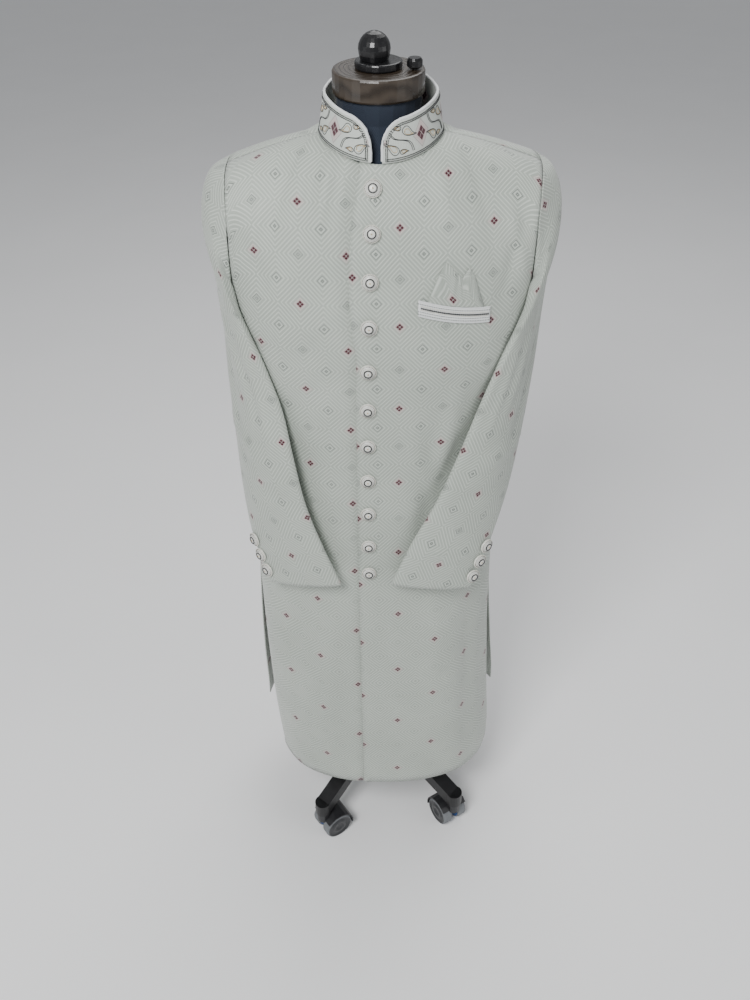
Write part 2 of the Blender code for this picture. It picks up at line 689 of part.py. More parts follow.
def make_welt():
    """A narrow band over the pocket's mouth, bent to the panel under it."""
    rows = []
    for up in (0.0, 0.5, 1.0):
        row = []
        for step in range(WELT["columns"] + 1):
            along = step / WELT["columns"]
            x = WELT["inner_x"] + (WELT["outer_x"] - WELT["inner_x"]) * along
            height = WELT["inner_height"] + (WELT["outer_height"] - WELT["inner_height"]) * along
            height += WELT["width"] * (up - 1) - WELT_SAG * math.sin(math.pi * along)
            row.append(front_outside(x, height, PATCH_LIFT)[0])
        rows.append(row)
    sheet("pocket_welt", rows, wall=WELT_WALL)


def make_square():
    """The folded cloth that stands in the pocket, with two peaks."""
    stops = column(SQUARE_TOP, "along")
    tops = column(SQUARE_TOP, "height")
    rows = []
    for up in SQUARE["rows"]:
        row = []
        for step in range(SQUARE["columns"] + 1):
            along = stops[0] + (stops[-1] - stops[0]) * step / SQUARE["columns"]
            x = WELT["inner_x"] + (WELT["outer_x"] - WELT["inner_x"]) * along
            base = WELT["inner_height"] + (WELT["outer_height"] - WELT["inner_height"]) * along
            base += SQUARE["foot"] - WELT_SAG * math.sin(math.pi * along)
            height = base + up * np.interp(along, stops, tops)
            row.append(front_outside(x, height, PATCH_LIFT)[0])
        rows.append(row)
    sheet("pocket_square", rows, wall=SQUARE["wall"])


# Turned pieces
def turned(name, profile, sides, look, axis="Z"):
    """A turned solid: a profile of (radius, height) points, from the top down its outer side."""
    points = [(radius, 0.0, height) for radius, height in profile]
    mesh = bpy.data.meshes.new(name)
    mesh.from_pydata(points, [(i, i + 1) for i in range(len(points) - 1)], [])
    obj = finish(bpy.data.objects.new(name, mesh), name, look)
    screw = obj.modifiers.new("turn", "SCREW")
    screw.axis = axis
    screw.steps = sides
    screw.render_steps = sides
    screw.use_merge_vertices = True
    screw.merge_threshold = 0.00001
    screw.use_smooth_shade = True
    return obj


BUTTON_PROFILE = (
    (0.0, 1.00), (0.34, 0.94), (0.72, 0.62), (1.0, 0.30), (0.96, 0.0), (0.0, 0.0),
)


def make_button(name, place, normal):
    profile = [(radius * BUTTON["radius"], height * BUTTON["height"])
               for radius, height in BUTTON_PROFILE]
    obj = turned(name, profile, BUTTON["sides"], "button")
    turn = normal.to_track_quat("Z", "Y")
    obj.matrix_world = Matrix.Translation(place) @ turn.to_matrix().to_4x4()


def make_buttons():
    for number, height in enumerate(FRONT_BUTTON_HEIGHTS, 1):
        x = from_table(PLACKET_EDGE, "x", height) + BUTTON_INSET
        place, normal = front_outside(x, height, PATCH_LIFT)
        make_button(f"front_button_{number}", place, normal)
    for word, (side, table) in SLEEVES.items():
        for number, (along, around) in enumerate(CUFF_BUTTONS["rows"], 1):
            place, normal = cuff_place(side, table, along, around)
            make_button(f"cuff_button_{word}_{number}", place, normal)


def cuff_place(side, table, along, around):
    """A point just off a sleeve's outer face, and the direction outwards there."""
    def at(how_far, how_round):
        ring = how_far * len(table)
        low = min(int(ring), len(table) - 1)
        first = sleeve_point(side, table, low, how_round)
        return first.lerp(sleeve_point(side, table, low + 1, how_round), ring - low)

    point = at(along, around)
    step = NORMAL_STEP["cuff"]
    across = at(along, around + step) - at(along, around - step)
    down = at(along + step, around) - at(along - step, around)
    normal = across.cross(down).normalized() * side
    return point + normal * CUFF_BUTTON_LIFT, normal


# Dress form
def make_form():
    """The torso: closed all round, with the coat's shape, a little smaller, and a neck on top."""
    angles = [math.radians(a) for a in form_angles()]
    rows = []
    for height in [FORM_BOTTOM] + [h for h in LOWER_ROWS if h > FORM_BOTTOM + 0.01]:
        ring = ring_at(height, "front")
        rows.append([Vector((*on_ring(ring, angle, FORM_SHRINK), height)) for angle in angles])
    for upward in UPPER_ROWS[:-1]:
        rows.append([chest_point(angle, upward, FORM_SHRINK) for angle in angles])
    mesh = bmesh.new()
    rings = [[mesh.verts.new(point) for point in row] for row in rows]
    count = len(angles)
    for low, high in zip(rings, rings[1:]):
        for c in range(count):
            right = (c + 1) % count
            mesh.faces.new((low[c], low[right], high[right], high[c]))
    mesh.faces.new(rings[0][::-1])
    crown = [top_edge(angle, FORM_SHRINK)[0] for angle in angles]
    top = []
    shoulder = {}
    for angle, point in zip(angles, crown):
        folded = min(abs(math.degrees(angle)), 180 - abs(math.degrees(angle)))
        if folded > NECK_ANGLE - 0.01:
            key = (round(folded, 3), angle > 0)
            if key not in shoulder:
                shoulder[key] = mesh.verts.new(point)
            top.append(shoulder[key])
        else:
            top.append(mesh.verts.new(point))
    for c in range(count):
        right = (c + 1) % count
        corners = []
        for vertex in (rings[-1][c], rings[-1][right], top[right], top[c]):
            if vertex not in corners:
                corners.append(vertex)
        mesh.faces.new(corners)
    neck_angles = [a for a in angles
                   if min(abs(math.degrees(a)), 180 - abs(math.degrees(a))) <= NECK_ANGLE + 0.01]
    neck_loop = []
    for c, angle in enumerate(angles):
        if angle in neck_angles and top[c] not in neck_loop:
            neck_loop.append(top[c])
    neck = []
    for share, lift in FORM_NECK["rings"]:
        ring = []
        for vertex in neck_loop:
            off = Vector((vertex.co.x - NECK["x"], vertex.co.y - NECK["y"]))
            swing = math.atan2(off.y, off.x)
            narrow = Vector((FORM_NECK["radius"] * math.cos(swing),
                             FORM_NECK["radius"] * math.sin(swing)))
            flat = Vector((vertex.co.x, vertex.co.y)).lerp(narrow, share)
            height = vertex.co.z + (FORM_NECK["top"] - vertex.co.z) * lift
            ring.append(mesh.verts.new((flat.x, flat.y, height)))
        neck.append(ring)
    for low, high in zip([neck_loop] + neck, neck):
        for c in range(len(low)):
            right = (c + 1) % len(low)
            mesh.faces.new((low[c], low[right], high[right], high[c]))
    mesh.faces.new(neck[-1])
    bmesh.ops.recalc_face_normals(mesh, faces=mesh.faces)
    data = bpy.data.meshes.new("form_torso")
    mesh.to_mesh(data)
    mesh.free()
    finish(bpy.data.objects.new("form_torso", data), "form_torso", "form")


def form_angles():
    """Angles round the form that match the coat's columns, from the front centre round."""
    quarter = [NECK_ANGLE * k / FRONT_COLUMNS_TO_NECK for k in range(FRONT_COLUMNS_TO_NECK)]
    quarter += [NECK_ANGLE + (90 - NECK_ANGLE) * k / FRONT_COLUMNS_TO_SIDE
                for k in range(FRONT_COLUMNS_TO_SIDE)]
    half = quarter + [90.0] + [180 - a for a in quarter[:0:-1]]
    return half + [180.0] + [-a for a in half[:0:-1]]


def make_board():
    """The oval board that closes the torso's lower end."""
    ring = ring_at(FORM_BOTTOM, "front")
    steps = 28
    outline = [on_ring(ring, 2 * math.pi * k / steps, FORM_SHRINK + BOARD["inset"])
               for k in range(steps)]
    mesh = bmesh.new()
    top = FORM_BOTTOM - SEAT_GAP
    face = mesh.faces.new([mesh.verts.new((x, y, top - BOARD["thickness"])) for x, y in outline])
    grown = bmesh.ops.extrude_face_region(mesh, geom=[face])
    raised = [item for item in grown["geom"] if isinstance(item, bmesh.types.BMVert)]
    bmesh.ops.translate(mesh, verts=raised, vec=(0.0, 0.0, BOARD["thickness"]))
    bmesh.ops.recalc_face_normals(mesh, faces=mesh.faces)
    data = bpy.data.meshes.new("base_board")
    mesh.to_mesh(data)
    mesh.free()
    finish(bpy.data.objects.new("base_board", data), "base_board", "wood")


def cylinder(name, radius, bottom, top, look, sides=28, place=(0.0, 0.0)):
    bpy.ops.mesh.primitive_cylinder_add(
        vertices=sides, radius=radius, depth=top - bottom,
        location=(place[0], place[1], 0.5 * (top + bottom)))
    return finish(bpy.context.object, name, look)


def rounded(obj, width, segments=2):
    bevel = obj.modifiers.new("edges", "BEVEL")
    bevel.width = width
    bevel.segments = segments
    bevel.limit_method = "ANGLE"
    bevel.angle_limit = math.radians(50)
    return obj


def make_neck_fittings():
    cap_bottom = FORM_NECK["top"] + SEAT_GAP
    cap_top = cap_bottom + CAP["height"]
    rounded(cylinder("neck_cap", CAP["radius"], cap_bottom, cap_top, "wood", 32), CAP["edge"])
    flange_bottom = cap_top + SEAT_GAP
    flange_top = flange_bottom + FLANGE["height"]
    rounded(cylinder("cap_flange", FLANGE["radius"], flange_bottom, flange_top, "black plastic", 24),
            FLANGE["edge"])
    foot = flange_top + SEAT_GAP
    radius, straight = BALL["radius"], BALL["straight"]
    profile = []
    for k in range(7):
        swing = math.radians(15 * k)
        profile.append((radius * math.sin(swing), foot + straight + radius * math.cos(swing)))
    profile += [(radius * BALL["waist"], foot + 0.5 * straight), (radius * BALL["foot"], foot), (0.0, foot)]
    ball = turned("ball_knob", profile, 24, "black plastic")
    ball.location.x = BALL["out"]
    stem_foot = cap_top + SEAT_GAP
    stem, radius, length = LOCK["stem"], LOCK["radius"], LOCK["length"]
    lift, end = LOCK["lift"], LOCK["end"] * radius
    profile = [(0.0, length), (end, length), (radius, length - LOCK["top_edge"]),
               (radius, lift + LOCK["foot_edge"]), (end, lift), (stem, lift), (stem, 0.0), (0.0, 0.0)]
    lock = turned("lock_knob", profile, 16, "black plastic")
    lock.location = (LOCK["out"], LOCK["y"], stem_foot)


# Stand
def make_pole():
    board_bottom = FORM_BOTTOM - SEAT_GAP - BOARD["thickness"]
    pole_top = board_bottom - SEAT_GAP
    cylinder("pole", POLE["radius"], POLE["bottom"], pole_top, "steel", 24)
    ring = cylinder("pole_sleeve", POLE_SLEEVE["radius"], pole_top - POLE_SLEEVE["height"], pole_top,
                    "black metal", 24)
    bore = cylinder("sleeve_bore", POLE["radius"] + SEAT_GAP, pole_top - POLE_SLEEVE["height"] - CUT_PAST,
                    pole_top + CUT_PAST, "steel", 24)
    boolean(ring, bore, "DIFFERENCE")
    hub = cylinder("hub", HUB["radius"], HUB["bottom"], HUB["top"], "black metal", 32)
    socket = cylinder("hub_bore", POLE["radius"] + SEAT_GAP, POLE["bottom"] - SEAT_GAP,
                      HUB["top"] + CUT_PAST, "steel", 24)
    boolean(hub, socket, "DIFFERENCE")


def castor_place(number):
    swing = BASE_TURN - math.pi / 4 + number * math.pi / 2
    return Vector((LEG["reach"] * math.cos(swing), LEG["reach"] * math.sin(swing))), swing


def make_leg(number):
    """A square bar from the hub down to the castor, with a round end and a bored socket."""
    place, swing = castor_place(number)
    start = HUB["radius"] + 3 * SEAT_GAP
    drop = LEG["hub_height"] - LEG["end_height"]
    mesh = bmesh.new()
    bmesh.ops.create_cube(mesh, size=1.0)
    for vertex in mesh.verts:
        out = start if vertex.co.x < 0 else LEG["reach"]
        middle = LEG["hub_height"] if vertex.co.x < 0 else LEG["hub_height"] - drop
        vertex.co = Vector((out, vertex.co.y * LEG["width"], middle + vertex.co.z * LEG["depth"]))
    data = bpy.data.meshes.new(f"leg_{number + 1}")
    mesh.to_mesh(data)
    mesh.free()
    leg = finish(bpy.data.objects.new(f"leg_{number + 1}", data), f"leg_{number + 1}", "black metal")
    end_bottom = LEG["end_height"] - 0.5 * LEG["depth"]
    end_top = LEG["end_height"] + 0.5 * LEG["depth"]
    boss = cylinder(f"leg_end_{number}", LEG["end_radius"], end_bottom, end_top + LEG["end_rise"], "black metal", 24,
                    (LEG["reach"], 0.0))
    boolean(leg, boss, "UNION")
    bore = cylinder(f"leg_bore_{number}", STEM["radius"] + STEM["clearance"], end_bottom - CUT_PAST,
                    end_bottom + STEM["length"] + STEM["headroom"], "steel", 16, (LEG["reach"], 0.0))
    boolean(leg, bore, "DIFFERENCE")
    turn = Matrix.Rotation(swing, 4, "Z")
    for obj in (leg, boss, bore):
        obj.matrix_world = turn @ obj.matrix_world


def make_castor(number):
    """A twin-wheel castor: a hood with its stem, and two wheels on one axle."""
    place, swing = castor_place(number)
    turn = Matrix.Translation((place.x, place.y, 0.0)) @ Matrix.Rotation(CASTOR_TURNS[number], 4, "Z")
    apothem = WHEEL["radius"] * math.cos(math.pi / WHEEL["sides"])
    wheel_turn = turn @ Matrix.Translation((TRAIL, 0.0, apothem))
    outer, inner = 0.5 * WHEEL["gap"] + WHEEL["width"], 0.5 * WHEEL["gap"]
    radius, axle = WHEEL["radius"], AXLE["radius"]
    half = [(0.0, outer - WHEEL["dish_depth"]), (radius * WHEEL["dish"], outer),
            (radius * WHEEL["rim"], outer), (radius, outer - WHEEL["outer_edge"]),
            (radius, inner + WHEEL["inner_edge"]), (radius * WHEEL["inner_rim"], inner), (axle, inner)]
    profile = half + [(r, -w) for r, w in half[::-1]]
    wheels = turned(f"castor_wheels_{number + 1}", profile, WHEEL["sides"], "tyre")
    wheels.matrix_world = wheel_turn @ Matrix.Rotation(math.pi / 2, 4, "X")
    make_hood(number, turn, apothem)


def make_hood(number, turn, axle_height):
    """The web between the wheels, the cover over them, and the neck and stem that swivel."""
    name = f"castor_hood_{number + 1}"
    neck_top = LEG["end_height"] - 0.5 * LEG["depth"] - SEAT_GAP
    axle = (TRAIL, axle_height)
    inner = WHEEL["radius"] + HOOD["room"]
    outer = inner + HOOD["wall"]
    wide = 0.5 * WHEEL["gap"] + WHEEL["width"] + SEAT_GAP
    turns = [math.radians(HOOD["first"] + (HOOD["last"] - HOOD["first"]) * step / HOOD["steps"])
             for step in range(HOOD["steps"] + 1)]
    arc = [(outer * math.cos(a), outer * math.sin(a)) for a in turns]
    arc += [(inner * math.cos(a), inner * math.sin(a)) for a in turns[::-1]]
    cover = bar(name, arc, wide, axle)
    middle = 0.5 * (inner + outer)
    web_outline = [(middle * math.cos(a), middle * math.sin(a)) for a in turns]
    web_outline += WEB_FOOT
    web = bar(f"web_{number}", web_outline, 0.5 * HOOD["web"], axle)
    neck = cylinder(f"neck_{number}", HOOD["neck"], neck_top - HOOD["neck_length"], neck_top,
                    "black plastic", 16)
    stem = cylinder(f"stem_{number}", STEM["radius"], neck_top - STEM["root"], neck_top + STEM["length"],
                    "steel", 16)
    for piece in (web, neck, stem):
        boolean(cover, piece, "UNION")
    wheel_room = bar(f"wheel_room_{number}", round_outline(inner, WHEEL["sides"]), 2 * wide, axle)
    web_room = bar(f"web_room_{number}", round_outline(inner + CUT_PAST, 12), 0.5 * HOOD["web"], axle)
    boolean(wheel_room, web_room, "DIFFERENCE")
    axle_hole = bar(f"axle_hole_{number}", round_outline(AXLE["radius"] + AXLE["clearance"], 14), 2 * wide,
                    axle)
    for tool in (wheel_room, axle_hole):
        boolean(cover, tool, "DIFFERENCE")
    for obj in (cover, web, neck, stem, wheel_room, web_room, axle_hole):
        obj.matrix_world = turn @ obj.matrix_world


def round_outline(radius, count):
    return [(radius * math.cos(2 * math.pi * k / count), radius * math.sin(2 * math.pi * k / count))
            for k in range(count)]


def bar(name, outline, half_width, middle):
    """A flat outline in X and Z about a middle point, drawn out to both sides along Y."""
    mesh = bmesh.new()
    face = mesh.faces.new([mesh.verts.new((middle[0] + x, -half_width, middle[1] + z))
                           for x, z in outline])
    grown = bmesh.ops.extrude_face_region(mesh, geom=[face])
    moved = [item for item in grown["geom"] if isinstance(item, bmesh.types.BMVert)]
    bmesh.ops.translate(mesh, verts=moved, vec=(0.0, 2 * half_width, 0.0))
    bmesh.ops.recalc_face_normals(mesh, faces=mesh.faces)
    data = bpy.data.meshes.new(name)
    mesh.to_mesh(data)
    mesh.free()
    return finish(bpy.data.objects.new(name, data), name, "black plastic")


make_front("front_left", 1)
make_front("front_right", -1)
make_back()
make_collar()
for word, (side, table) in SLEEVES.items():
    make_sleeve(word, side, table)
make_welt()
make_square()
make_buttons()
make_form()
make_board()
make_neck_fittings()
make_pole()
for number in range(4):
    make_leg(number)
    make_castor(number)
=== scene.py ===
# %% [markdown]
# # A cream brocade sherwani on a wheeled dress form
# This notebook builds a long brocade coat, the form that it hangs on and the stand below it.
# All sizes are in metres and +Z is up. The coat's front faces -Y, and the wearer's left is +X. Each
# cell makes one thing and prints what it made. The frame comes first, because each new piece rides
# on one of its bodies and stands for one or more of its solids.

# %% Load the frame
import math

import bpy
import numpy as np
from mathutils import Matrix, Vector


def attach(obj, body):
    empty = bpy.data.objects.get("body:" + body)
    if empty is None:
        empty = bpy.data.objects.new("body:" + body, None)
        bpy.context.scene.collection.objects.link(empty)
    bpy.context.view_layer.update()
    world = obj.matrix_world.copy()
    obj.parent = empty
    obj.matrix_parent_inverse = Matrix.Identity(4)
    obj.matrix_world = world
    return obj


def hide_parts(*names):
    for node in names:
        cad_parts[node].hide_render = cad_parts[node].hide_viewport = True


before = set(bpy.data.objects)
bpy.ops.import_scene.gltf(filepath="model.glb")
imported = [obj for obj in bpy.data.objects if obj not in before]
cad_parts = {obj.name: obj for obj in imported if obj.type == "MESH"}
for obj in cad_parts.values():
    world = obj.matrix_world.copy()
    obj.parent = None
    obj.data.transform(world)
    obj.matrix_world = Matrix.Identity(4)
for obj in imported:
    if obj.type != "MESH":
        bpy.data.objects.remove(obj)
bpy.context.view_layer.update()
ROOT = "stand_form_and_coat"

# %% [markdown]
# ## The coat's form
# A sherwani is a long, close coat, so its cloth follows the form to the waist and hangs from there.
# It could be simulated, but then it would no longer lie where the frame's solids lie. So the tables
# below repeat the frame's driving sizes, and each shell is built on the very same surface.

# %% Sizes of the cloth
CLOTH = 0.002
COLLAR_WALL = 0.003
SEAM_GAP = 0.0003
LAY_GAP = 0.0004
HEM_HEIGHT = 0.19
UNDERARM_HEIGHT = 1.11
SLIT_TOP = 0.66
print("cloth", round(CLOTH * 1000, 1), "mm thick, hem at", HEM_HEIGHT, "m")

# %% Rings of the coat
# The inner face of the coat from hem to underarm, one row for each level
COAT_RINGS = dict(
    columns=("height", "centre_x", "half_width", "front", "back", "squareness"),
    rows=(
        (0.19, 0.002, 0.205, 0.160, 0.158, 2.40),
        (0.35, -0.006, 0.203, 0.155, 0.155, 2.40),
        (0.52, -0.012, 0.200, 0.151, 0.151, 2.40),
        (0.70, -0.012, 0.198, 0.148, 0.148, 2.30),
        (0.82, -0.012, 0.191, 0.142, 0.138, 2.30),
        (0.92, -0.009, 0.184, 0.136, 0.126, 2.30),
        (1.02, -0.004, 0.193, 0.136, 0.124, 2.45),
        (1.11, 0.002, 0.206, 0.138, 0.126, 2.70),
    ),
)
# Below the slits the back hangs wider and squarer than the fronts
BACK_FLARE = 0.034
BACK_HEM_SQUARENESS = 3.6
# The slit edges as angles round from the coat's front centre, at the slit's top and at the hem
SLIT_EDGES = dict(
    columns=("piece", "side", "at_top", "at_hem"),
    rows=(
        ("front", -1, 90.0, 70.0),
        ("front", 1, 90.0, 97.0),
        ("back", -1, 90.0, 101.0),
        ("back", 1, 90.0, 116.0),
    ),
)
# The free edge of the left front: how far it lies from the form's axis, by height
PLACKET_EDGE = dict(
    columns=("height", "x"),
    rows=((0.19, -0.037), (0.75, -0.037), (1.02, -0.035), (1.20, -0.030), (1.36, -0.024)),
)
UNDERLAP = 0.045
UNDERLAP_DROP = CLOTH + 0.0010
UNDERLAP_DROP_AT_NECK = 0.0012
UNDERLAP_RAMP = 0.014
print(len(COAT_RINGS["rows"]), "rings from hem to underarm")

# %% Neckline, shoulders and armholes
NECK = dict(x=0.003, y=-0.002, half_width=0.079, front=0.076, back=0.074)
NECK_HEIGHT = dict(front=1.350, side=1.366, back=1.384)
SHOULDER_END = dict(x=0.2085, y=0.002, height=1.325, shift=0.0065)
SHOULDER_CROWN = 0.003
NECK_ANGLE = 45.0
CHEST_ROUNDNESS = 0.30
CHEST_DRAW = 1.6
ARMHOLE_REACH = 3
ARMHOLE = dict(front_bulge=0.080, back_bulge=0.078, front_inset=0.004, back_inset=0.006)
ARMHOLE_FULLNESS = 0.6
FORM_SHOULDER_GAP = 0.0009
FORM_NECK_IN = (0.008, 0.002)
print("neckline", round(2 * NECK["half_width"], 3), "m wide")

# %% Large folds
# The large soft folds: outward height of each wave, round angle and reach up the coat
FOLDS = dict(
    columns=("piece", "angle", "low", "high", "half_angle", "height"),
    rows=(
        ("front", -46, 0.17, 0.62, 16, 0.004),
        ("front", 38, 0.17, 0.66, 15, 0.005),
        ("front", 72, 0.17, 0.60, 12, -0.004),
        ("front", 24, 0.66, 1.02, 11, -0.004),
        ("front", -62, 0.70, 1.05, 12, 0.003),
        ("back", 160, 0.17, 0.80, 13, 0.006),
        ("back", -163, 0.17, 0.72, 12, 0.006),
        ("back", 134, 0.17, 0.55, 12, -0.005),
        ("back", -138, 0.17, 0.60, 12, -0.005),
        ("back", 180, 0.85, 1.02, 22, -0.003),
    ),
)

# How a place on the front is searched for, and the highest level at which it has a normal
SEARCH = dict(rounds=60, turn=3.0, rise=1.0)
NORMAL_STEP = dict(front=0.004, cuff=0.01)
BELOW_TOP = 1.99
print(len(FOLDS["rows"]), "large folds")

# %% Rows and columns of points
LOWER_ROWS = (0.19, 0.28, 0.38, 0.48, 0.58, 0.66, 0.76, 0.86, 0.94, 1.02, 1.11)
UPPER_ROWS = (0.16, 0.32, 0.47, 0.62, 0.76, 0.89, 1.0)
FRONT_COLUMNS_TO_NECK = 5
FRONT_COLUMNS_TO_SIDE = 5
print(len(LOWER_ROWS) + len(UPPER_ROWS), "rows of points up the coat")

# %% Collar sizes
COLLAR = dict(height=0.051, end_height=0.0185, end_round=0.030, lean_side=0.008, lean_front=0.003)
COLLAR_ENDS = (0.5, -9.5)
COLLAR_CROWDING = 0.064
print("collar", round(COLLAR["height"] * 1000), "mm high")

# %% Sleeve sizes
# The sleeves, one row for each ring below the armhole. Lengths are full lengths: "thick" from the
# inner to the outer face, "rise" how much higher the outer face lies, "length" from the back to the
# front edge, "turn" how far the front edge swings towards the coat's front, "bow" the curl round
# the body, "dip" how much higher the front edge lies than the back edge and "tuck" how far the
# front edge is drawn in towards the coat.
SLEEVE_COLUMNS = ("out", "y", "height", "thick", "rise", "length", "turn", "bow", "dip", "tuck")
SLEEVE_RIGHT = (
    (0.2135, 0.000, 1.2110, 0.017, 0.216, 0.162, 0, 0.000, 0.000, 0.008),
    (0.2185, -0.001, 1.1880, 0.031, 0.204, 0.162, 2, 0.000, 0.002, 0.014),
    (0.2165, -0.006, 1.1570, 0.035, 0.176, 0.168, 6, 0.002, 0.006, 0.014),
    (0.2110, -0.016, 1.1200, 0.028, 0.130, 0.170, 13, 0.007, 0.010, 0.010),
    (0.1980, -0.031, 1.0750, 0.024, 0.078, 0.166, 22, 0.013, 0.012, 0.003),
    (0.1860, -0.055, 1.0050, 0.022, 0.032, 0.156, 32, 0.020, 0.016, 0.000),
    (0.1770, -0.081, 0.9300, 0.020, 0.012, 0.149, 38, 0.022, 0.022, 0.000),
    (0.1670, -0.107, 0.8500, 0.018, 0.004, 0.141, 47, 0.018, 0.026, 0.000),
    (0.1490, -0.131, 0.7750, 0.016, 0.000, 0.134, 59, 0.010, 0.028, 0.000),
    (0.1230, -0.150, 0.7010, 0.014, 0.000, 0.127, 68, 0.004, 0.032, 0.000),
)
SLEEVE_LEFT = (
    (0.2225, 0.000, 1.2110, 0.020, 0.216, 0.160, 0, 0.000, 0.000, 0.011),
    (0.2275, -0.001, 1.1880, 0.034, 0.204, 0.158, 3, 0.000, 0.002, 0.019),
    (0.2235, -0.007, 1.1570, 0.038, 0.176, 0.164, 7, 0.002, 0.006, 0.016),
    (0.2150, -0.018, 1.1200, 0.032, 0.130, 0.166, 15, 0.007, 0.010, 0.009),
    (0.2010, -0.033, 1.0750, 0.026, 0.078, 0.160, 24, 0.013, 0.012, 0.003),
    (0.1850, -0.056, 1.0050, 0.022, 0.032, 0.147, 34, 0.019, 0.016, 0.000),
    (0.1660, -0.084, 0.9300, 0.020, 0.012, 0.139, 45, 0.019, 0.022, 0.000),
    (0.1410, -0.113, 0.8500, 0.018, 0.004, 0.136, 57, 0.015, 0.026, 0.000),
    (0.1090, -0.139, 0.7750, 0.016, 0.000, 0.133, 71, 0.009, 0.028, 0.000),
    (0.0790, -0.156, 0.6990, 0.014, 0.000, 0.131, 80, 0.004, 0.028, 0.000),
)
SLEEVES = {"right": (-1, SLEEVE_RIGHT), "left": (1, SLEEVE_LEFT)}
ARMHOLE_STEP = 0.0024
SLEEVE_SEAM = 0.355
SLEEVE_TOP_COLUMNS = 13
SLEEVE_UNDER_COLUMNS = 7
SLEEVE_GIRTH = 0.12
SLEEVE_SQUARENESS = 0.55
SLEEVE_REST = 0.0054
GUARD_TOP = 1.24
GUARD_SWELL = 0.007
print(len(SLEEVE_RIGHT), "rings down each sleeve")

# %% Pocket and button sizes
# The breast pocket is on the wearer's left front
WELT = dict(inner_x=0.050, outer_x=0.146, inner_height=1.190, outer_height=1.172, width=0.0215)
WELT_WALL = 0.002
WELT_SAG = 0.003
SQUARE = dict(wall=0.0018, foot=0.0005)
SQUARE_TOP = dict(
    columns=("along", "height"),
    rows=((0.14, 0.004), (0.36, 0.056), (0.45, 0.052), (0.60, 0.038), (0.69, 0.052), (0.76, 0.043),
          (0.90, 0.003)),
)
PATCH_LIFT = LAY_GAP + 0.0004

# Buttons: heights of the eleven down the front, and places on the cuffs
BUTTON = dict(radius=0.0115, height=0.0075)
BUTTON_INSET = 0.0165
FRONT_BUTTON_HEIGHTS = (1.3245, 1.274, 1.2145, 1.152, 1.085, 1.021, 0.958, 0.896, 0.836, 0.774, 0.720)
CUFF_BUTTON_LIFT = 0.0014
CUFF_BUTTONS = dict(
    columns=("along", "round"),
    rows=((0.905, 0.835), (0.938, 0.835), (0.971, 0.835)),
)
print(len(FRONT_BUTTON_HEIGHTS), "front buttons,", len(CUFF_BUTTONS["rows"]), "on each cuff")

# %% Castor sizes
LEG_REACH = 0.186
BASE_TURN = math.radians(4.5)
WHEEL = dict(radius=0.0290, width=0.0200, gap=0.0140, sides=18)
TRAIL = 0.020
CASTOR_TURNS = (2.14, 3.49, 5.24, 0.61)
print(len(CASTOR_TURNS), "castors")

# %% [markdown]
# ## From tables to a surface
# The size tables give a few rings only. A smooth curve through their rows gives every height
# between them, and one function then answers where a point of the cloth lies. Points come from an
# angle round the body and a level up it, so a panel is simply a range of angles.

# %% Reading the tables
def column(table, name):
    """One column of a table, as a list."""
    place = table["columns"].index(name)
    return [row[place] for row in table["rows"]]


def smooth_value(at, places, values):
    """Reads a smooth curve through the given places, with level ends."""
    if at <= places[0]:
        return values[0]
    if at >= places[-1]:
        return values[-1]
    last = len(places) - 1
    k = max(i for i in range(last) if places[i] <= at)
    span = places[k + 1] - places[k]
    slopes = []
    for i in (k, k + 1):
        if i in (0, last):
            slopes.append(0.0)
        else:
            slopes.append((values[i + 1] - values[i - 1]) / (places[i + 1] - places[i - 1]))
    t = (at - places[k]) / span
    rise = values[k + 1] - values[k]
    start, end = slopes[0] * span, slopes[1] * span
    return (values[k] + start * t + (3 * rise - 2 * start - end) * t * t
            + (start + end - 2 * rise) * t ** 3)


def from_table(table, name, at):
    return smooth_value(at, column(table, table["columns"][0]), column(table, name))


def ease(t):
    t = min(max(t, 0.0), 1.0)
    return t * t * (3 - 2 * t)


def power(value, exponent):
    return math.copysign(abs(value) ** exponent, value)


print("half width at the waist:", round(from_table(COAT_RINGS, "half_width", 0.92), 3), "m")

# %% Rings and folds
def ring_at(height, piece):
    """The oval of the coat at a height: centre, half width, front, back and squareness."""
    ring = {name: from_table(COAT_RINGS, name, height) for name in COAT_RINGS["columns"][1:]}
    if piece == "back" and height < SLIT_TOP:
        open_part = (SLIT_TOP - height) / (SLIT_TOP - HEM_HEIGHT)
        ring["half_width"] += BACK_FLARE * open_part
        ring["squareness"] += (BACK_HEM_SQUARENESS - ring["squareness"]) * open_part
    return ring


def on_ring(ring, angle, shrink=0.0):
    """A point of the oval, by its angle round from the front centre towards +X."""
    reach = 2.0 / ring["squareness"]
    sine, cosine = math.sin(angle), math.cos(angle)
    depth = ring["front"] if cosine > 0 else ring["back"]
    x = ring["centre_x"] + (ring["half_width"] - shrink) * power(sine, reach)
    y = -(depth - shrink) * power(cosine, reach)
    return x, y


def fold_height(piece, angle, height):
    """How far the soft folds lift the cloth here."""
    lift = 0.0
    for name, middle, low, high, half_angle, rise in FOLDS["rows"]:
        if name != piece:
            continue
        off = math.degrees(angle) - middle
        off = abs((off + 180) % 360 - 180) / half_angle
        if off < 1 and low < height < high:
            along = (height - low) / (high - low)
            lift += rise * (1 - off * off) ** 2 * math.sin(math.pi * along) ** 0.7
    return lift


print("hem ring:", ring_at(HEM_HEIGHT, "front"))

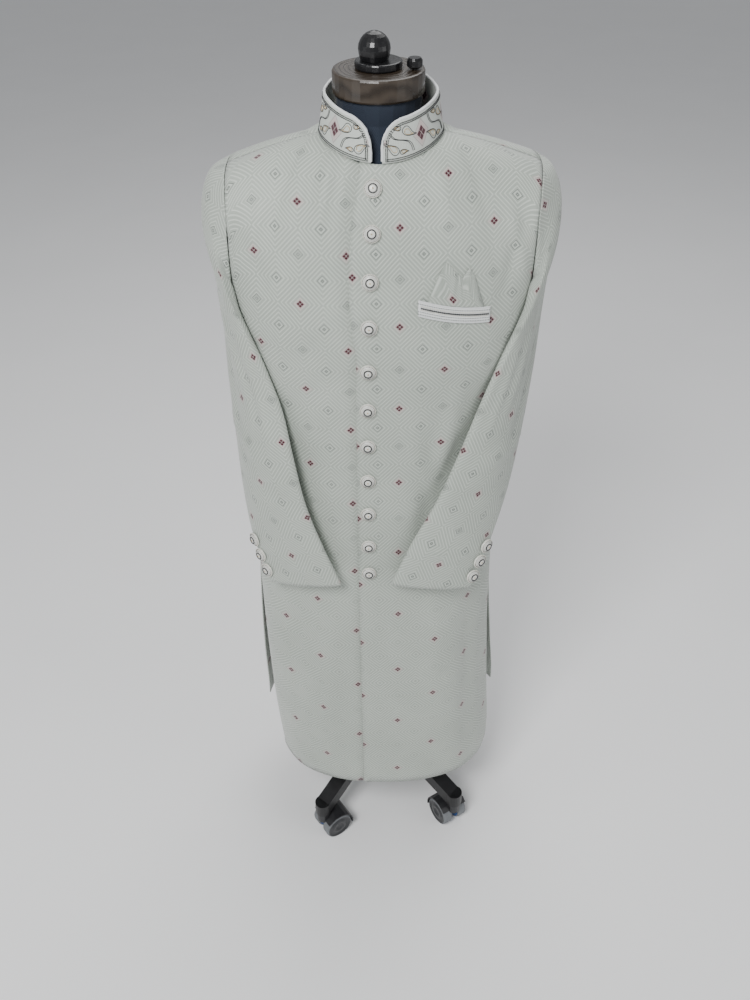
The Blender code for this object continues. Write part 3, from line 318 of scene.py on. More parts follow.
# %% Neckline, shoulders and chest
def top_edge(angle, shrink):
    """The neckline or the shoulder seam above a column, by the column's angle."""
    turned = abs(math.degrees(angle))
    side = math.copysign(1.0, angle)
    at_back = turned > 90
    folded = 180 - turned if at_back else turned
    neck_depth = NECK["back"] if at_back else -NECK["front"]
    middle_height = NECK_HEIGHT["back"] if at_back else NECK_HEIGHT["front"]
    swing = math.radians(90 * min(folded / NECK_ANGLE, 1.0))
    neck = Vector((NECK["x"] + side * NECK["half_width"] * math.sin(swing),
                   NECK["y"] + neck_depth * math.cos(swing),
                   middle_height + (NECK_HEIGHT["side"] - middle_height) * math.sin(swing) ** 2))
    if folded > NECK_ANGLE:
        along = (folded - NECK_ANGLE) / (90 - NECK_ANGLE)
        end = Vector((SHOULDER_END["shift"] + side * (SHOULDER_END["x"] - shrink), SHOULDER_END["y"],
                      SHOULDER_END["height"]))
        neck = neck.lerp(end, along)
        neck.z += SHOULDER_CROWN * math.sin(math.pi * along)
    if shrink:
        near = max(0.0, 1 - folded / NECK_ANGLE)
        inward = FORM_NECK_IN[1] + (FORM_NECK_IN[0] - FORM_NECK_IN[1]) * near
        if folded <= NECK_ANGLE + 0.01:
            middle = Vector((NECK["x"], NECK["y"], neck.z))
            neck += (middle - neck).normalized() * inward
        neck.z -= FORM_SHOULDER_GAP + 0.5 * inward * near
    return neck, folded


def side_angle(side, at_back):
    """The angle of the body's side, just behind or just in front of the shoulder seam."""
    return math.radians(90.001 if at_back else 89.999) * side


def armhole_point(side, at_back, upward):
    """The armhole's edge, from the underarm (0) to the shoulder's end (1)."""
    angle = side_angle(side, at_back)
    low = Vector((*on_ring(ring_at(UNDERARM_HEIGHT, "front"), angle), UNDERARM_HEIGHT))
    high, _ = top_edge(angle, 0.0)
    swell = math.sin(math.pi * upward)
    bulge = ARMHOLE["back_bulge"] if at_back else -ARMHOLE["front_bulge"]
    inset = ARMHOLE["back_inset"] if at_back else ARMHOLE["front_inset"]
    rise = math.sin(upward * math.pi / 2)
    return Vector((low.x + (high.x - low.x) * upward ** CHEST_DRAW - side * inset * swell,
                   low.y + (high.y - low.y) * upward + bulge * swell ** ARMHOLE_FULLNESS,
                   low.z + (high.z - low.z) * rise))


def chest_point(angle, upward, shrink=0.0):
    """The coat above the underarm, from the chest ring (0) to the neckline and shoulders (1)."""
    base_x, base_y = on_ring(ring_at(UNDERARM_HEIGHT, "front"), angle, shrink)
    top, folded = top_edge(angle, shrink)
    roundness = CHEST_ROUNDNESS + (1 - CHEST_ROUNDNESS) * ease(folded / NECK_ANGLE)
    quarter = upward * math.pi / 2
    inward = (1 - roundness) * upward ** 2 + roundness * (1 - math.cos(quarter))
    rise = (1 - roundness) * upward + roundness * math.sin(quarter)
    point = Vector((base_x + (top.x - base_x) * upward ** CHEST_DRAW,
                    base_y + (top.y - base_y) * inward,
                    UNDERARM_HEIGHT + (top.z - UNDERARM_HEIGHT) * rise))
    if shrink:
        return point
    side = math.copysign(1.0, angle)
    at_back = abs(angle) > math.pi / 2
    edge = armhole_point(side, at_back, upward)
    straight = chest_point(side_angle(side, at_back), upward, 1e-9)
    pull = (folded / 90) ** ARMHOLE_REACH
    return point + (edge - straight) * pull


def coat_point(piece, angle, level):
    """A point of the coat's inner face. Levels to 1 run from hem to underarm, then to 2 at the top."""
    if level > 1:
        return chest_point(angle, level - 1)
    height = HEM_HEIGHT + (UNDERARM_HEIGHT - HEM_HEIGHT) * level
    x, y = on_ring(ring_at(height, piece), angle)
    lift = fold_height(piece, angle, height)
    return Vector((x + lift * math.sin(angle), y - lift * math.cos(angle), height))


print("front of the neck:", [round(value, 3) for value in coat_point("front", 0.0, 2.0)])

# %% Levels and columns of the panels
def level_of(height):
    """The level of a height: 0 at the hem and 1 at the underarm."""
    return (height - HEM_HEIGHT) / (UNDERARM_HEIGHT - HEM_HEIGHT)


LEVELS = [level_of(height) for height in LOWER_ROWS] + [1 + step for step in UPPER_ROWS]


def angle_at_x(x, level):
    """The angle at which the front passes a given x, for places near the front centre."""
    ring = ring_at(HEM_HEIGHT + (UNDERARM_HEIGHT - HEM_HEIGHT) * min(level, 1.0), "front")
    share = (x - ring["centre_x"]) / ring["half_width"]
    low = math.asin(power(share, ring["squareness"] / 2))
    if level <= 1:
        return low
    share = (x - NECK["x"]) / NECK["half_width"]
    high = math.asin(share) * NECK_ANGLE / 90
    return low + (high - low) * (level - 1) ** 0.8


def slit_angle(piece, side, level):
    """Where a piece ends at the side: the side seam, or its own edge of the slit."""
    edge = next(row for row in SLIT_EDGES["rows"] if row[0] == piece and row[1] == side)
    open_part = max(0.0, (level_of(SLIT_TOP) - level) / level_of(SLIT_TOP))
    return math.radians(edge[2] + (edge[3] - edge[2]) * open_part)


def height_of_level(level):
    """The height of a level, measured at the front centre above the underarm."""
    if level <= 1:
        return HEM_HEIGHT + (UNDERARM_HEIGHT - HEM_HEIGHT) * level
    return UNDERARM_HEIGHT + (NECK_HEIGHT["front"] - UNDERARM_HEIGHT) * (level - 1)


def seam_step(radius=0.2):
    """Half a seam's gap as an angle, at about the coat's half width."""
    return 0.5 * SEAM_GAP / radius


def front_columns(side, level):
    """The angles of a front's columns and how deep each goes under the other front."""
    edge_x = from_table(PLACKET_EDGE, "x", height_of_level(level))
    if side > 0:
        starts = [(edge_x, 0.0)]
    else:
        starts = [(edge_x + UNDERLAP, UNDERLAP_DROP), (edge_x + 0.5 * UNDERLAP, UNDERLAP_DROP),
                  (edge_x - 0.002, UNDERLAP_DROP), (edge_x - UNDERLAP_RAMP, 0.0)]
    columns = [(angle_at_x(x, level), drop) for x, drop in starts]
    first = columns[-1][0]
    middle = side * math.radians(NECK_ANGLE)
    last = side * (slit_angle("front", side, level) - seam_step())
    for step in range(1, FRONT_COLUMNS_TO_NECK + 1):
        columns.append((first + (middle - first) * step / FRONT_COLUMNS_TO_NECK, 0.0))
    for step in range(1, FRONT_COLUMNS_TO_SIDE + 1):
        columns.append((middle + (last - middle) * step / FRONT_COLUMNS_TO_SIDE, 0.0))
    return columns if side > 0 else columns[::-1]


def back_columns(level):
    """The back's columns, from the wearer's left side seam round to the right one."""
    angles = []
    for side in (1, -1):
        last = slit_angle("back", side, level) + seam_step()
        middle = math.radians(180 - NECK_ANGLE)
        half = [last + (middle - last) * step / FRONT_COLUMNS_TO_SIDE
                for step in range(FRONT_COLUMNS_TO_SIDE)]
        half += [middle + (math.pi - middle) * step / FRONT_COLUMNS_TO_NECK
                 for step in range(FRONT_COLUMNS_TO_NECK + 1)]
        angles.append([side * angle for angle in half])
    return angles[0][:-1] + [math.pi] + angles[1][::-1][1:]


print(len(LEVELS), "levels,", len(back_columns(0.5)), "columns in the back")

# %% Sleeve surface
def rest_on_coat(point, clear):
    """Pushes a point out to its clearance from the coat's side or front, less so up the armhole."""
    above = max(0.0, point.z - UNDERARM_HEIGHT) / (GUARD_TOP - UNDERARM_HEIGHT)
    if above >= 1:
        return point
    ring = ring_at(min(point.z, UNDERARM_HEIGHT), "front")
    clear += GUARD_SWELL * math.sin(math.pi * above)
    exponent = ring["squareness"]
    depth = (ring["front"] if point.y < 0 else ring["back"]) + clear
    width = ring["half_width"] + clear
    off = point.x - ring["centre_x"]
    share = (abs(off / width) ** exponent + abs(point.y / depth) ** exponent) ** (1 / exponent)
    if share >= 1:
        return point
    pushed = Vector((ring["centre_x"] + off / share, point.y / share, point.z))
    return point.lerp(pushed, 1 - above ** 3)


def armhole_loop(side, around):
    """The armhole as a loop: 0 at the shoulder, a quarter in front, a half at the underarm."""
    around = around % 1.0
    if around <= 0.5:
        point = armhole_point(side, False, 1 - 2 * around)
    else:
        point = armhole_point(side, True, 2 * around - 1)
    middle = 0.5 * (UNDERARM_HEIGHT + SHOULDER_END["height"])
    away = Vector((0.0, point.y, point.z - middle)).normalized()
    return point + Vector((side * ARMHOLE_STEP, 0.0, 0.0)) + away * CLOTH


def loose_point(side, ring, around):
    """A point of one ring of a sleeve before the sleeve is laid against the coat."""
    row = dict(zip(SLEEVE_COLUMNS, ring))
    turn = math.radians(row["turn"])
    cosine, sine = math.cos(2 * math.pi * around), math.sin(2 * math.pi * around)
    outward = Vector((side * math.cos(turn), -math.sin(turn), 0.0))
    forward = Vector((-side * math.sin(turn), -math.cos(turn), 0.0))
    centre = Vector((side * row["out"], row["y"], row["height"]))
    half_thick = 0.5 * row["thick"] * power(cosine, SLEEVE_SQUARENESS)
    point = centre + outward * (half_thick + row["bow"] * cosine ** 2)
    point += forward * 0.5 * row["length"] * sine
    point.x -= side * row["tuck"] * max(sine, 0.0) ** 2
    point.z += 0.5 * row["rise"] * cosine + 0.5 * row["dip"] * sine
    return point


def sleeve_point(side, table, ring_number, around):
    """A point of a sleeve's outer face. Ring 0 is the armhole, the last ring the cuff's hem."""
    if ring_number == 0:
        return armhole_loop(side, around)
    ring = table[ring_number - 1]
    point = loose_point(side, ring, around)
    on_top = math.cos(2 * math.pi * around) > 0
    under = loose_point(side, ring, 0.5 - around) if on_top else point
    return point + rest_on_coat(under, SLEEVE_REST) - under


print("top of the right armhole:", [round(value, 3) for value in armhole_loop(-1, 0.0)])

# %% Places on the front and on the cuffs
def front_place(x, height):
    """The angle and level of the left front's point at an x and a height."""
    angle = math.asin(x / from_table(COAT_RINGS, "half_width", height))
    level = level_of(height)
    for _ in range(SEARCH["rounds"]):
        point = coat_point("front", angle, level)
        angle += SEARCH["turn"] * (x - point.x)
        level += SEARCH["rise"] * (height - point.z)
        level = min(level, BELOW_TOP)
    return angle, level


def front_normal(angle, level):
    """The outward direction of the front there."""
    step = NORMAL_STEP["front"]
    across = coat_point("front", angle + step, level) - coat_point("front", angle - step, level)
    up = coat_point("front", angle, level + step) - coat_point("front", angle, level - step)
    return across.cross(up).normalized()


def front_outside(x, height, off):
    """A point that lies a distance above the left front's outer face, and the normal there."""
    angle, level = front_place(x, height)
    normal = front_normal(angle, level)
    return coat_point("front", angle, level) + normal * (CLOTH + off), normal


def cuff_place(side, table, along, around):
    """A point just off a sleeve's outer face, and the direction outwards there."""
    def at(how_far, how_round):
        ring = how_far * len(table)
        low = min(int(ring), len(table) - 1)
        first = sleeve_point(side, table, low, how_round)
        return first.lerp(sleeve_point(side, table, low + 1, how_round), ring - low)

    point = at(along, around)
    step = NORMAL_STEP["cuff"]
    across = at(along, around + step) - at(along, around - step)
    down = at(along + step, around) - at(along - step, around)
    normal = across.cross(down).normalized() * side
    return point + normal * CUFF_BUTTON_LIFT, normal


print("height of the pocket's place:", round(front_outside(0.1, 1.18, 0.0)[0].z, 3), "m")

# %% [markdown]
# ## From rows of points to a cloth shell
# Real cloth is cut flat, woven with its figure along its length, and creased where it is pressed.
# A pattern on object coordinates would cut through the folds, so every piece gets a UV map in metres
# on the cloth itself: U runs round the body or the sleeve, V runs along it. Creases are lines in
# those same metres, which keeps them in place on the cloth.

# %% Finer rows, normals and cloth coordinates
def refine(values, times):
    """More values between the given ones."""
    finer = [a + (b - a) * k / times for a, b in zip(values, values[1:]) for k in range(times)]
    return finer + [values[-1]]


def grid_normals(points):
    """The outward direction at each point of a grid, from its neighbours."""
    normals = np.cross(np.gradient(points, axis=1), np.gradient(points, axis=0))
    return normals / np.linalg.norm(normals, axis=2, keepdims=True)


def run_along(points, axis):
    """How far each point is from the first one along its row or column."""
    steps = np.linalg.norm(np.diff(points, axis=axis), axis=2)
    padding = [(0, 0), (0, 0)]
    padding[axis] = (1, 0)
    return np.cumsum(np.pad(steps, padding), axis=axis)


def body_uv(points, piece):
    """U is the distance from the piece's middle line, V the length up from the hem."""
    angle = 0.0 if piece == "front" else math.pi
    middle = np.array([coat_point(piece, angle, level) for level in FINE_LEVELS])
    depth = np.interp(points[..., 2], middle[:, 2], middle[:, 1])
    across = np.hypot(points[..., 0], points[..., 1] - depth) * np.sign(points[..., 0])
    return np.stack([across, run_along(points, 0)], axis=2)


def crease_lift(name, uv):
    """The height of all creases of a piece at its points."""
    lift = np.zeros(uv.shape[:2])
    for piece, u1, v1, u2, v2, width, height in CREASES["rows"]:
        if piece != name:
            continue
        start, run = np.array([u1, v1]), np.array([u2 - u1, v2 - v1])
        along = np.clip(((uv - start) @ run) / (run @ run), 0.0, 1.0)
        off = np.linalg.norm(uv - start - along[..., None] * run, axis=2)
        fade = np.sin(math.pi * (0.12 + 0.76 * along))
        lift += CREASE_DEPTH * height * fade * np.exp(-(off / width) ** 2)
    return lift


CREASE_DEPTH = 1.4
FINE_LEVELS = refine(LEVELS, 5)
print(len(FINE_LEVELS), "finer rows up the coat")

# %% [markdown]
# ## Creases
# Creases show how soft the cloth is. They could be sculpted, but a table is easier to change. Each
# row is one soft ridge, or one trough where the height is negative: from (u1, v1) to (u2, v2) on the
# cloth, with its half width and its height in metres. Their lengths, depths and gaps are uneven on
# purpose. The drag folds run from the sleeves to the waist, and the long ones fall to the hem.

# %% Table of creases
CREASES = dict(
    columns=("piece", "u1", "v1", "u2", "v2", "half_width", "height"),
    rows=(
        ("front_right", -0.060, 1.19, -0.078, 1.09, 0.007, 0.0030),
        ("front_right", -0.082, 1.18, -0.105, 1.07, 0.008, -0.0025),
        ("front_right", -0.150, 1.13, -0.185, 1.03, 0.008, 0.0024),
        ("front_right", -0.195, 1.10, -0.150, 1.00, 0.010, -0.0030),
        ("front_right", -0.070, 0.98, -0.150, 0.92, 0.018, 0.0022),
        ("front_right", -0.060, 0.88, -0.170, 0.80, 0.016, -0.0022),
        ("front_right", -0.080, 0.50, -0.100, 0.10, 0.022, 0.0030),
        ("front_right", -0.150, 0.46, -0.165, 0.06, 0.020, -0.0030),
        ("front_right", -0.200, 0.42, -0.215, 0.05, 0.018, 0.0026),
        ("front_left", 0.070, 1.19, 0.095, 1.10, 0.008, 0.0024),
        ("front_left", 0.170, 1.12, 0.200, 1.02, 0.009, 0.0026),
        ("front_left", 0.196, 1.11, 0.165, 0.99, 0.010, -0.0030),
        ("front_left", 0.110, 0.86, 0.080, 0.66, 0.012, 0.0036),
        ("front_left", 0.035, 0.80, 0.085, 0.66, 0.009, 0.0026),
        ("front_left", 0.120, 0.76, 0.060, 0.62, 0.011, -0.0028),
        ("front_left", 0.060, 0.94, 0.150, 0.88, 0.018, 0.0020),
        ("front_left", 0.085, 0.50, 0.095, 0.08, 0.022, 0.0032),
        ("front_left", 0.150, 0.46, 0.160, 0.05, 0.020, -0.0030),
        ("front_left", 0.205, 0.44, 0.220, 0.04, 0.018, 0.0028),
        ("back", 0.060, 1.20, 0.090, 1.08, 0.010, 0.0026),
        ("back", -0.065, 1.20, -0.100, 1.09, 0.010, 0.0024),
        ("back", 0.190, 1.10, 0.150, 0.96, 0.012, -0.0030),
        ("back", -0.190, 1.10, -0.155, 0.95, 0.012, -0.0030),
        ("back", 0.030, 0.92, 0.160, 0.86, 0.018, 0.0024),
        ("back", -0.020, 0.84, -0.150, 0.78, 0.018, 0.0022),
        ("back", 0.070, 0.66, 0.085, 0.08, 0.026, 0.0036),
        ("back", -0.080, 0.60, -0.095, 0.06, 0.026, 0.0034),
        ("back", 0.170, 0.50, 0.190, 0.04, 0.020, -0.0030),
        ("back", -0.165, 0.52, -0.180, 0.05, 0.020, -0.0030),
        ("sleeve_right_top", 0.020, 0.14, 0.030, 0.34, 0.009, 0.0034),
        ("sleeve_right_top", -0.020, 0.16, -0.014, 0.40, 0.010, -0.0030),
        ("sleeve_right_top", 0.055, 0.20, 0.050, 0.38, 0.008, 0.0026),
        ("sleeve_right_top", -0.045, 0.33, 0.040, 0.40, 0.010, 0.0030),
        ("sleeve_right_top", -0.040, 0.42, 0.050, 0.45, 0.010, -0.0026),
        ("sleeve_right_top", -0.040, 0.54, 0.030, 0.60, 0.008, 0.0024),
        ("sleeve_right_top", 0.000, 0.02, 0.000, 0.07, 0.020, 0.0020),
        ("sleeve_left_top", 0.020, 0.14, 0.030, 0.34, 0.009, 0.0032),
        ("sleeve_left_top", -0.022, 0.15, -0.014, 0.38, 0.010, -0.0030),
        ("sleeve_left_top", 0.050, 0.22, 0.046, 0.36, 0.008, 0.0026),
        ("sleeve_left_top", -0.045, 0.36, 0.040, 0.41, 0.010, 0.0034),
        ("sleeve_left_top", -0.045, 0.43, 0.045, 0.47, 0.009, -0.0028),
        ("sleeve_left_top", -0.040, 0.555, 0.045, 0.570, 0.006, 0.0030),
        ("sleeve_left_top", -0.030, 0.590, 0.048, 0.560, 0.005, 0.0022),
        ("sleeve_left_top", 0.000, 0.02, 0.000, 0.07, 0.020, 0.0020),
        ("sleeve_right_under", 0.000, 0.12, 0.010, 0.30, 0.010, -0.0020),
        ("sleeve_left_under", 0.000, 0.12, 0.010, 0.30, 0.010, -0.0020),
    ),
)
print(len(CREASES["rows"]), "creases")

# %% [markdown]
# ## Materials
# A shader can be wired by hand, node by node, but a woven figure needs dozens of Math nodes. A tiny
# class writes them from plain arithmetic, so that the figure reads like a formula: each operation
# on a Term adds one Math node and returns its output as the next Term.

# %% Shader arithmetic
class Term:
    """A number that the shader works out: plain arithmetic on it adds Math nodes."""

    def __init__(self, tree, socket):
        self.tree = tree
        self.socket = socket

    def apply(self, kind, *others, clamp=False):
        node = self.tree.nodes.new("ShaderNodeMath")
        node.operation = kind
        node.use_clamp = clamp
        for place, value in enumerate((self, *others)):
            if isinstance(value, Term):
                self.tree.links.new(value.socket, node.inputs[place])
            else:
                node.inputs[place].default_value = value
        return Term(self.tree, node.outputs[0])

    def __add__(self, other):
        return self.apply("ADD", other)

    def __sub__(self, other):
        return self.apply("SUBTRACT", other)

    def __mul__(self, other):
        return self.apply("MULTIPLY", other)

    def __abs__(self):
        return self.apply("ABSOLUTE")

    def floor(self):
        return self.apply("FLOOR")

    def wrap(self):
        """The part after the point, also for negative numbers."""
        return self - self.floor()

    def least(self, other):
        return self.apply("MINIMUM", other)

    def most(self, other):
        return self.apply("MAXIMUM", other)

    def wave(self, turns):
        return (self * (2 * math.pi * turns)).apply("SINE")

    def inside(self, limit, soft):
        """1 where the number is under the limit, 0 where it is over, soft between."""
        return ((self * -1.0 + (limit + soft)) * (0.5 / soft)).apply("ADD", 0.0, clamp=True)


def new_material(name, colour, roughness, metallic=0.0, **settings):
    material = bpy.data.materials.new(name)
    material.use_nodes = True
    shader = material.node_tree.nodes["Principled BSDF"]
    shader.inputs["Base Color"].default_value = (*colour, 1.0)
    shader.inputs["Roughness"].default_value = roughness
    shader.inputs["Metallic"].default_value = metallic
    for socket, value in settings.items():
        shader.inputs[socket.replace("_", " ")].default_value = value
    material.diffuse_color = (*colour, 1.0)
    return material


def shader_of(material):
    return material.node_tree.nodes["Principled BSDF"]


def coordinates(material, kind="Object"):
    """The three coordinates of a point as terms, on the object or on its own UV map."""
    tree = material.node_tree
    source = tree.nodes.new("ShaderNodeTexCoord")
    split = tree.nodes.new("ShaderNodeSeparateXYZ")
    tree.links.new(source.outputs[kind], split.inputs[0])
    return [Term(tree, socket) for socket in split.outputs]


def noise(material, scale, detail=2.0):
    """Soft random clouds on the object's own coordinates, as a term from 0 to 1."""
    tree = material.node_tree
    source = tree.nodes.new("ShaderNodeTexCoord")
    node = tree.nodes.new("ShaderNodeTexNoise")
    node.inputs["Scale"].default_value = scale
    node.inputs["Detail"].default_value = detail
    tree.links.new(source.outputs["Object"], node.inputs["Vector"])
    return Term(tree, node.outputs["Fac"])


def tint(material, base, layers):
    """Paints one colour over another: each layer is a share and a colour."""
    tree = material.node_tree
    shader = shader_of(material)
    last = None
    for share, colour in layers:
        mix = tree.nodes.new("ShaderNodeMix")
        mix.data_type = "RGBA"
        mix.inputs["A"].default_value = (*base, 1.0)
        mix.inputs["B"].default_value = (*colour, 1.0)
        if last:
            tree.links.new(last, mix.inputs["A"])
        tree.links.new(share.socket, mix.inputs["Factor"])
        last = mix.outputs["Result"]
    tree.links.new(last, shader.inputs["Base Color"])


def set_bump(material, height, depth):
    """Raises the surface by a term from 0 to 1 times a depth in metres."""
    tree = material.node_tree
    bump = tree.nodes.new("ShaderNodeBump")
    bump.inputs["Strength"].default_value = 1.0
    bump.inputs["Distance"].default_value = depth
    tree.links.new(height.socket, bump.inputs["Height"])
    tree.links.new(bump.outputs["Normal"], shader_of(material).inputs["Normal"])


def set_roughness(material, term):
    material.node_tree.links.new(term.socket, shader_of(material).inputs["Roughness"])


print("shader helpers are ready")

# %% [markdown]
# ## The brocade
# The coat's cloth is a cream satin brocade. Small dark crosses of four petals stand on a lattice,
# with thin grey diamonds between them. The ground is self-coloured: rings of diamonds round each
# place of the lattice, over a weave of short dashes. An image could hold all this, but it would blur
# close up. Here each figure is the distance to the nearest place of the lattice, so it stays sharp.

# %% Brocade material
LATTICE = dict(across=0.062, along=0.066)
CROSS = dict(petal=0.0023, reach=0.0027, soft=0.0003, halo=0.0085)
DIAMOND = dict(size=0.0068, line=0.0006, dot=0.0019, dot_line=0.0007, soft=0.00025)
GROUND = dict(rings=5.0, weave_across=0.0026, weave_along=0.0013)
LINE_FADE = dict(steep=2.4, start=1.05, most=0.75, least=0.2)
GROUND_MIX = dict(band=0.55, weave=0.25, cloud=0.35, less=-0.1)
RELIEF = dict(band=0.5, weave=0.2, lines=0.4, petals=0.5, depth=0.0006)
GLOSS = dict(band=-0.12, weave=0.08, base=0.5)
CREAM = (0.60, 0.64, 0.58)
SHADE = (0.29, 0.325, 0.285)
MAROON = (0.060, 0.003, 0.014)
PINK = (0.52, 0.27, 0.30)
THREAD = (0.10, 0.115, 0.11)


def local_offsets(across, along, half):
    """Offsets in metres from the nearest place of the lattice, and that place's numbers."""
    a = across * (1 / LATTICE["across"]) + (0.0 if half else 0.5)
    b = along * (1 / LATTICE["along"]) + (0.0 if half else 0.5)
    x = abs(a.wrap() - 0.5) * LATTICE["across"]
    y = abs(b.wrap() - 0.5) * LATTICE["along"]
    return x, y, a.floor() + b.floor()


def diamond_lines(x, y):
    """A thin diamond with a smaller one inside it, round the place of the lattice."""
    reach = x + y
    outline = abs(reach - DIAMOND["size"]).inside(DIAMOND["line"], DIAMOND["soft"])
    dot = abs(reach - DIAMOND["dot"]).inside(DIAMOND["dot_line"], DIAMOND["soft"])
    return outline.most(dot)


def brocade(name, start, fade=True):
    """The coat's cloth. The start is where on the cloth one cross lies, fade dims the hem's diamonds."""
    material = new_material(name, CREAM, 0.5, Sheen_Weight=0.25, Sheen_Roughness=0.4,
                            Specular_IOR_Level=0.35)
    across, along, _ = coordinates(material, "UV")
    u, v = across - start[0], along - start[1]
    x, y, number = local_offsets(u, v, half=False)
    odd = (number * 0.5).wrap() * 2.0
    even = odd * -1.0 + 1.0
    far, near = x.most(y), x.least(y)
    petals = (abs(far - CROSS["reach"]) + near).inside(CROSS["petal"], CROSS["soft"]) * even
    halo = (x + y).inside(CROSS["halo"], CROSS["halo"] * 0.4) * even * 0.35
    half_x, half_y, _ = local_offsets(u, v, half=True)
    lines = (diamond_lines(x, y) * odd).most(diamond_lines(half_x, half_y))
    if fade:
        shown = (along * LINE_FADE["steep"] - LINE_FADE["start"]).apply("ADD", 0.0, clamp=True)
        lines = lines * (shown * LINE_FADE["most"] + LINE_FADE["least"])
    rings = (x * (2 / LATTICE["across"]) + y * (2 / LATTICE["along"])).wave(GROUND["rings"])
    band = rings.apply("ADD", 0.0, clamp=True)
    step = (along * (0.5 / GROUND["weave_along"])).wrap().inside(0.5, 0.02) * 0.5
    dash = (across * (1 / GROUND["weave_across"]) + step).wave(1.0)
    row = (along * (1 / GROUND["weave_along"])).wave(1.0)
    weave = dash * row * 0.5 + 0.5
    cloudy = noise(material, 9.0)
    ground = band * GROUND_MIX["band"] + weave * GROUND_MIX["weave"] + cloudy * GROUND_MIX["cloud"]
    ground = ground.apply("ADD", GROUND_MIX["less"], clamp=True)
    layers = [(ground, CREAM), (lines * 0.8, THREAD), (halo, PINK), (petals, MAROON)]
    tint(material, SHADE, layers)
    relief = band * RELIEF["band"] + weave * RELIEF["weave"] + lines * RELIEF["lines"]
    set_bump(material, relief + petals * RELIEF["petals"], RELIEF["depth"])
    set_roughness(material, band * GLOSS["band"] + weave * GLOSS["weave"] + GLOSS["base"])
    return material


print("brocade lattice:", LATTICE)

# %% [markdown]
# ## Knit, satin, thread, wood, metal and plastic
# The form is covered in a dark knit, its cap is turned wood, and the stand is painted steel and
# plastic. The same noise on all of them would make them look alike. So each helper below mixes the
# one thing that its material shows close up: loops, ribs, specks of wear, or rings of grain.

# %% Plainer materials
def knit(name, colour, pitch, roughness=0.8):
    """A close knit: rows of small loops on the object's own coordinates."""
    material = new_material(name, colour, roughness, Sheen_Weight=0.08)
    x, y, z = coordinates(material)
    loops = (x + y).wave(1 / pitch) * z.wave(1 / pitch) * 0.5 + 0.5
    speck = noise(material, 260.0)
    dark, light = tuple(0.75 * c for c in colour), tuple(1.25 * c for c in colour)
    tint(material, dark, [(loops * 0.6 + speck * 0.4, light)])
    set_bump(material, loops, 0.0004)
    return material


def satin(name, colour, roughness=0.42):
    """Satin piping: fine ribs that run slantwise."""
    material = new_material(name, colour, roughness, Sheen_Weight=0.15)
    x, y, z = coordinates(material)
    ribs = (x + y + z).wave(1 / 0.0011) * 0.5 + 0.5
    tint(material, tuple(c * 0.9 for c in colour), [(ribs * 0.5 + noise(material, 60.0) * 0.5, colour)])
    set_bump(material, ribs, 0.0002)
    return material


def hard(name, colour, roughness, metallic=0.0, grain=40.0, wear=0.25, bump=0.0001, **settings):
    """A hard surface with fine unevenness in its colour, gloss and relief."""
    material = new_material(name, colour, roughness, metallic, **settings)
    speck = noise(material, grain, 4.0)
    worn = tuple(min(1.0, c * (1 + wear) + 0.01 * wear) for c in colour)
    tint(material, tuple(c * (1 - wear) for c in colour), [(speck, worn)])
    set_roughness(material, speck * 0.25 + (roughness - 0.12))
    set_bump(material, speck, bump)
    return material


def wood(name, dark, light, roughness):
    """Turned wood with rings of grain about the object's axis."""
    material = new_material(name, light, roughness, Coat_Weight=0.25, Coat_Roughness=0.2)
    x, y, z = coordinates(material)
    reach = (x * x + y * y).apply("SQRT")
    grain = (reach + noise(material, 14.0) * 0.02 + z * 0.3).wave(1 / 0.0065) * 0.5 + 0.5
    tint(material, dark, [(grain * 0.6 + noise(material, 90.0) * 0.3, light)])
    set_bump(material, grain, 0.0001)
    set_roughness(material, grain * 0.15 + (roughness - 0.08))
    return material


WHITE_SATIN = satin("white_satin", (0.80, 0.82, 0.82))
BLACK_THREAD = hard("black_thread", (0.02, 0.02, 0.022), 0.4, grain=900.0)
SILVER_THREAD = hard("silver_thread", (0.42, 0.43, 0.42), 0.35, 0.7, grain=900.0)
CREAM_BEAD = hard("cream_bead", (0.72, 0.70, 0.62), 0.28, grain=500.0, Coat_Weight=0.4)
DARK_BEAD = hard("dark_bead", (0.012, 0.012, 0.014), 0.18, grain=500.0, Coat_Weight=0.6)
GOLD_BEAD = hard("gold_bead", (0.62, 0.48, 0.30), 0.3, 0.8, grain=500.0)
print("plain materials:", len(bpy.data.materials))

# %% [markdown]
# ## Cloth pieces
# Every piece is a grid primitive whose points are moved to its surface, and a Solidify modifier
# gives it the wall of real cloth. A grid has even rows and columns, which is what woven cloth needs
# for its UV map. The surface is kept, so that beads, piping and buttons can be set on it later by
# their place on the cloth.

# %% Tools for cloth
SURFACES = {}


def deselect():
    bpy.ops.object.select_all(action="DESELECT")


def grid_piece(name, points, uv, material):
    """A grid primitive whose points and UVs come from rows."""
    height, width = points.shape[:2]
    deselect()
    bpy.ops.mesh.primitive_grid_add(x_subdivisions=width - 1, y_subdivisions=height - 1, size=1.0)
    obj = bpy.context.object
    obj.name = name
    mesh = obj.data
    mesh.vertices.foreach_set("co", points.astype(np.float32).reshape(-1))
    corner = np.zeros(len(mesh.loops), np.int32)
    mesh.loops.foreach_get("vertex_index", corner)
    mesh.uv_layers[0].data.foreach_set("uv", uv.astype(np.float32).reshape(-1, 2)[corner].reshape(-1))
    mesh.update()
    mesh.shade_smooth()
    mesh.materials.append(material)
    return obj


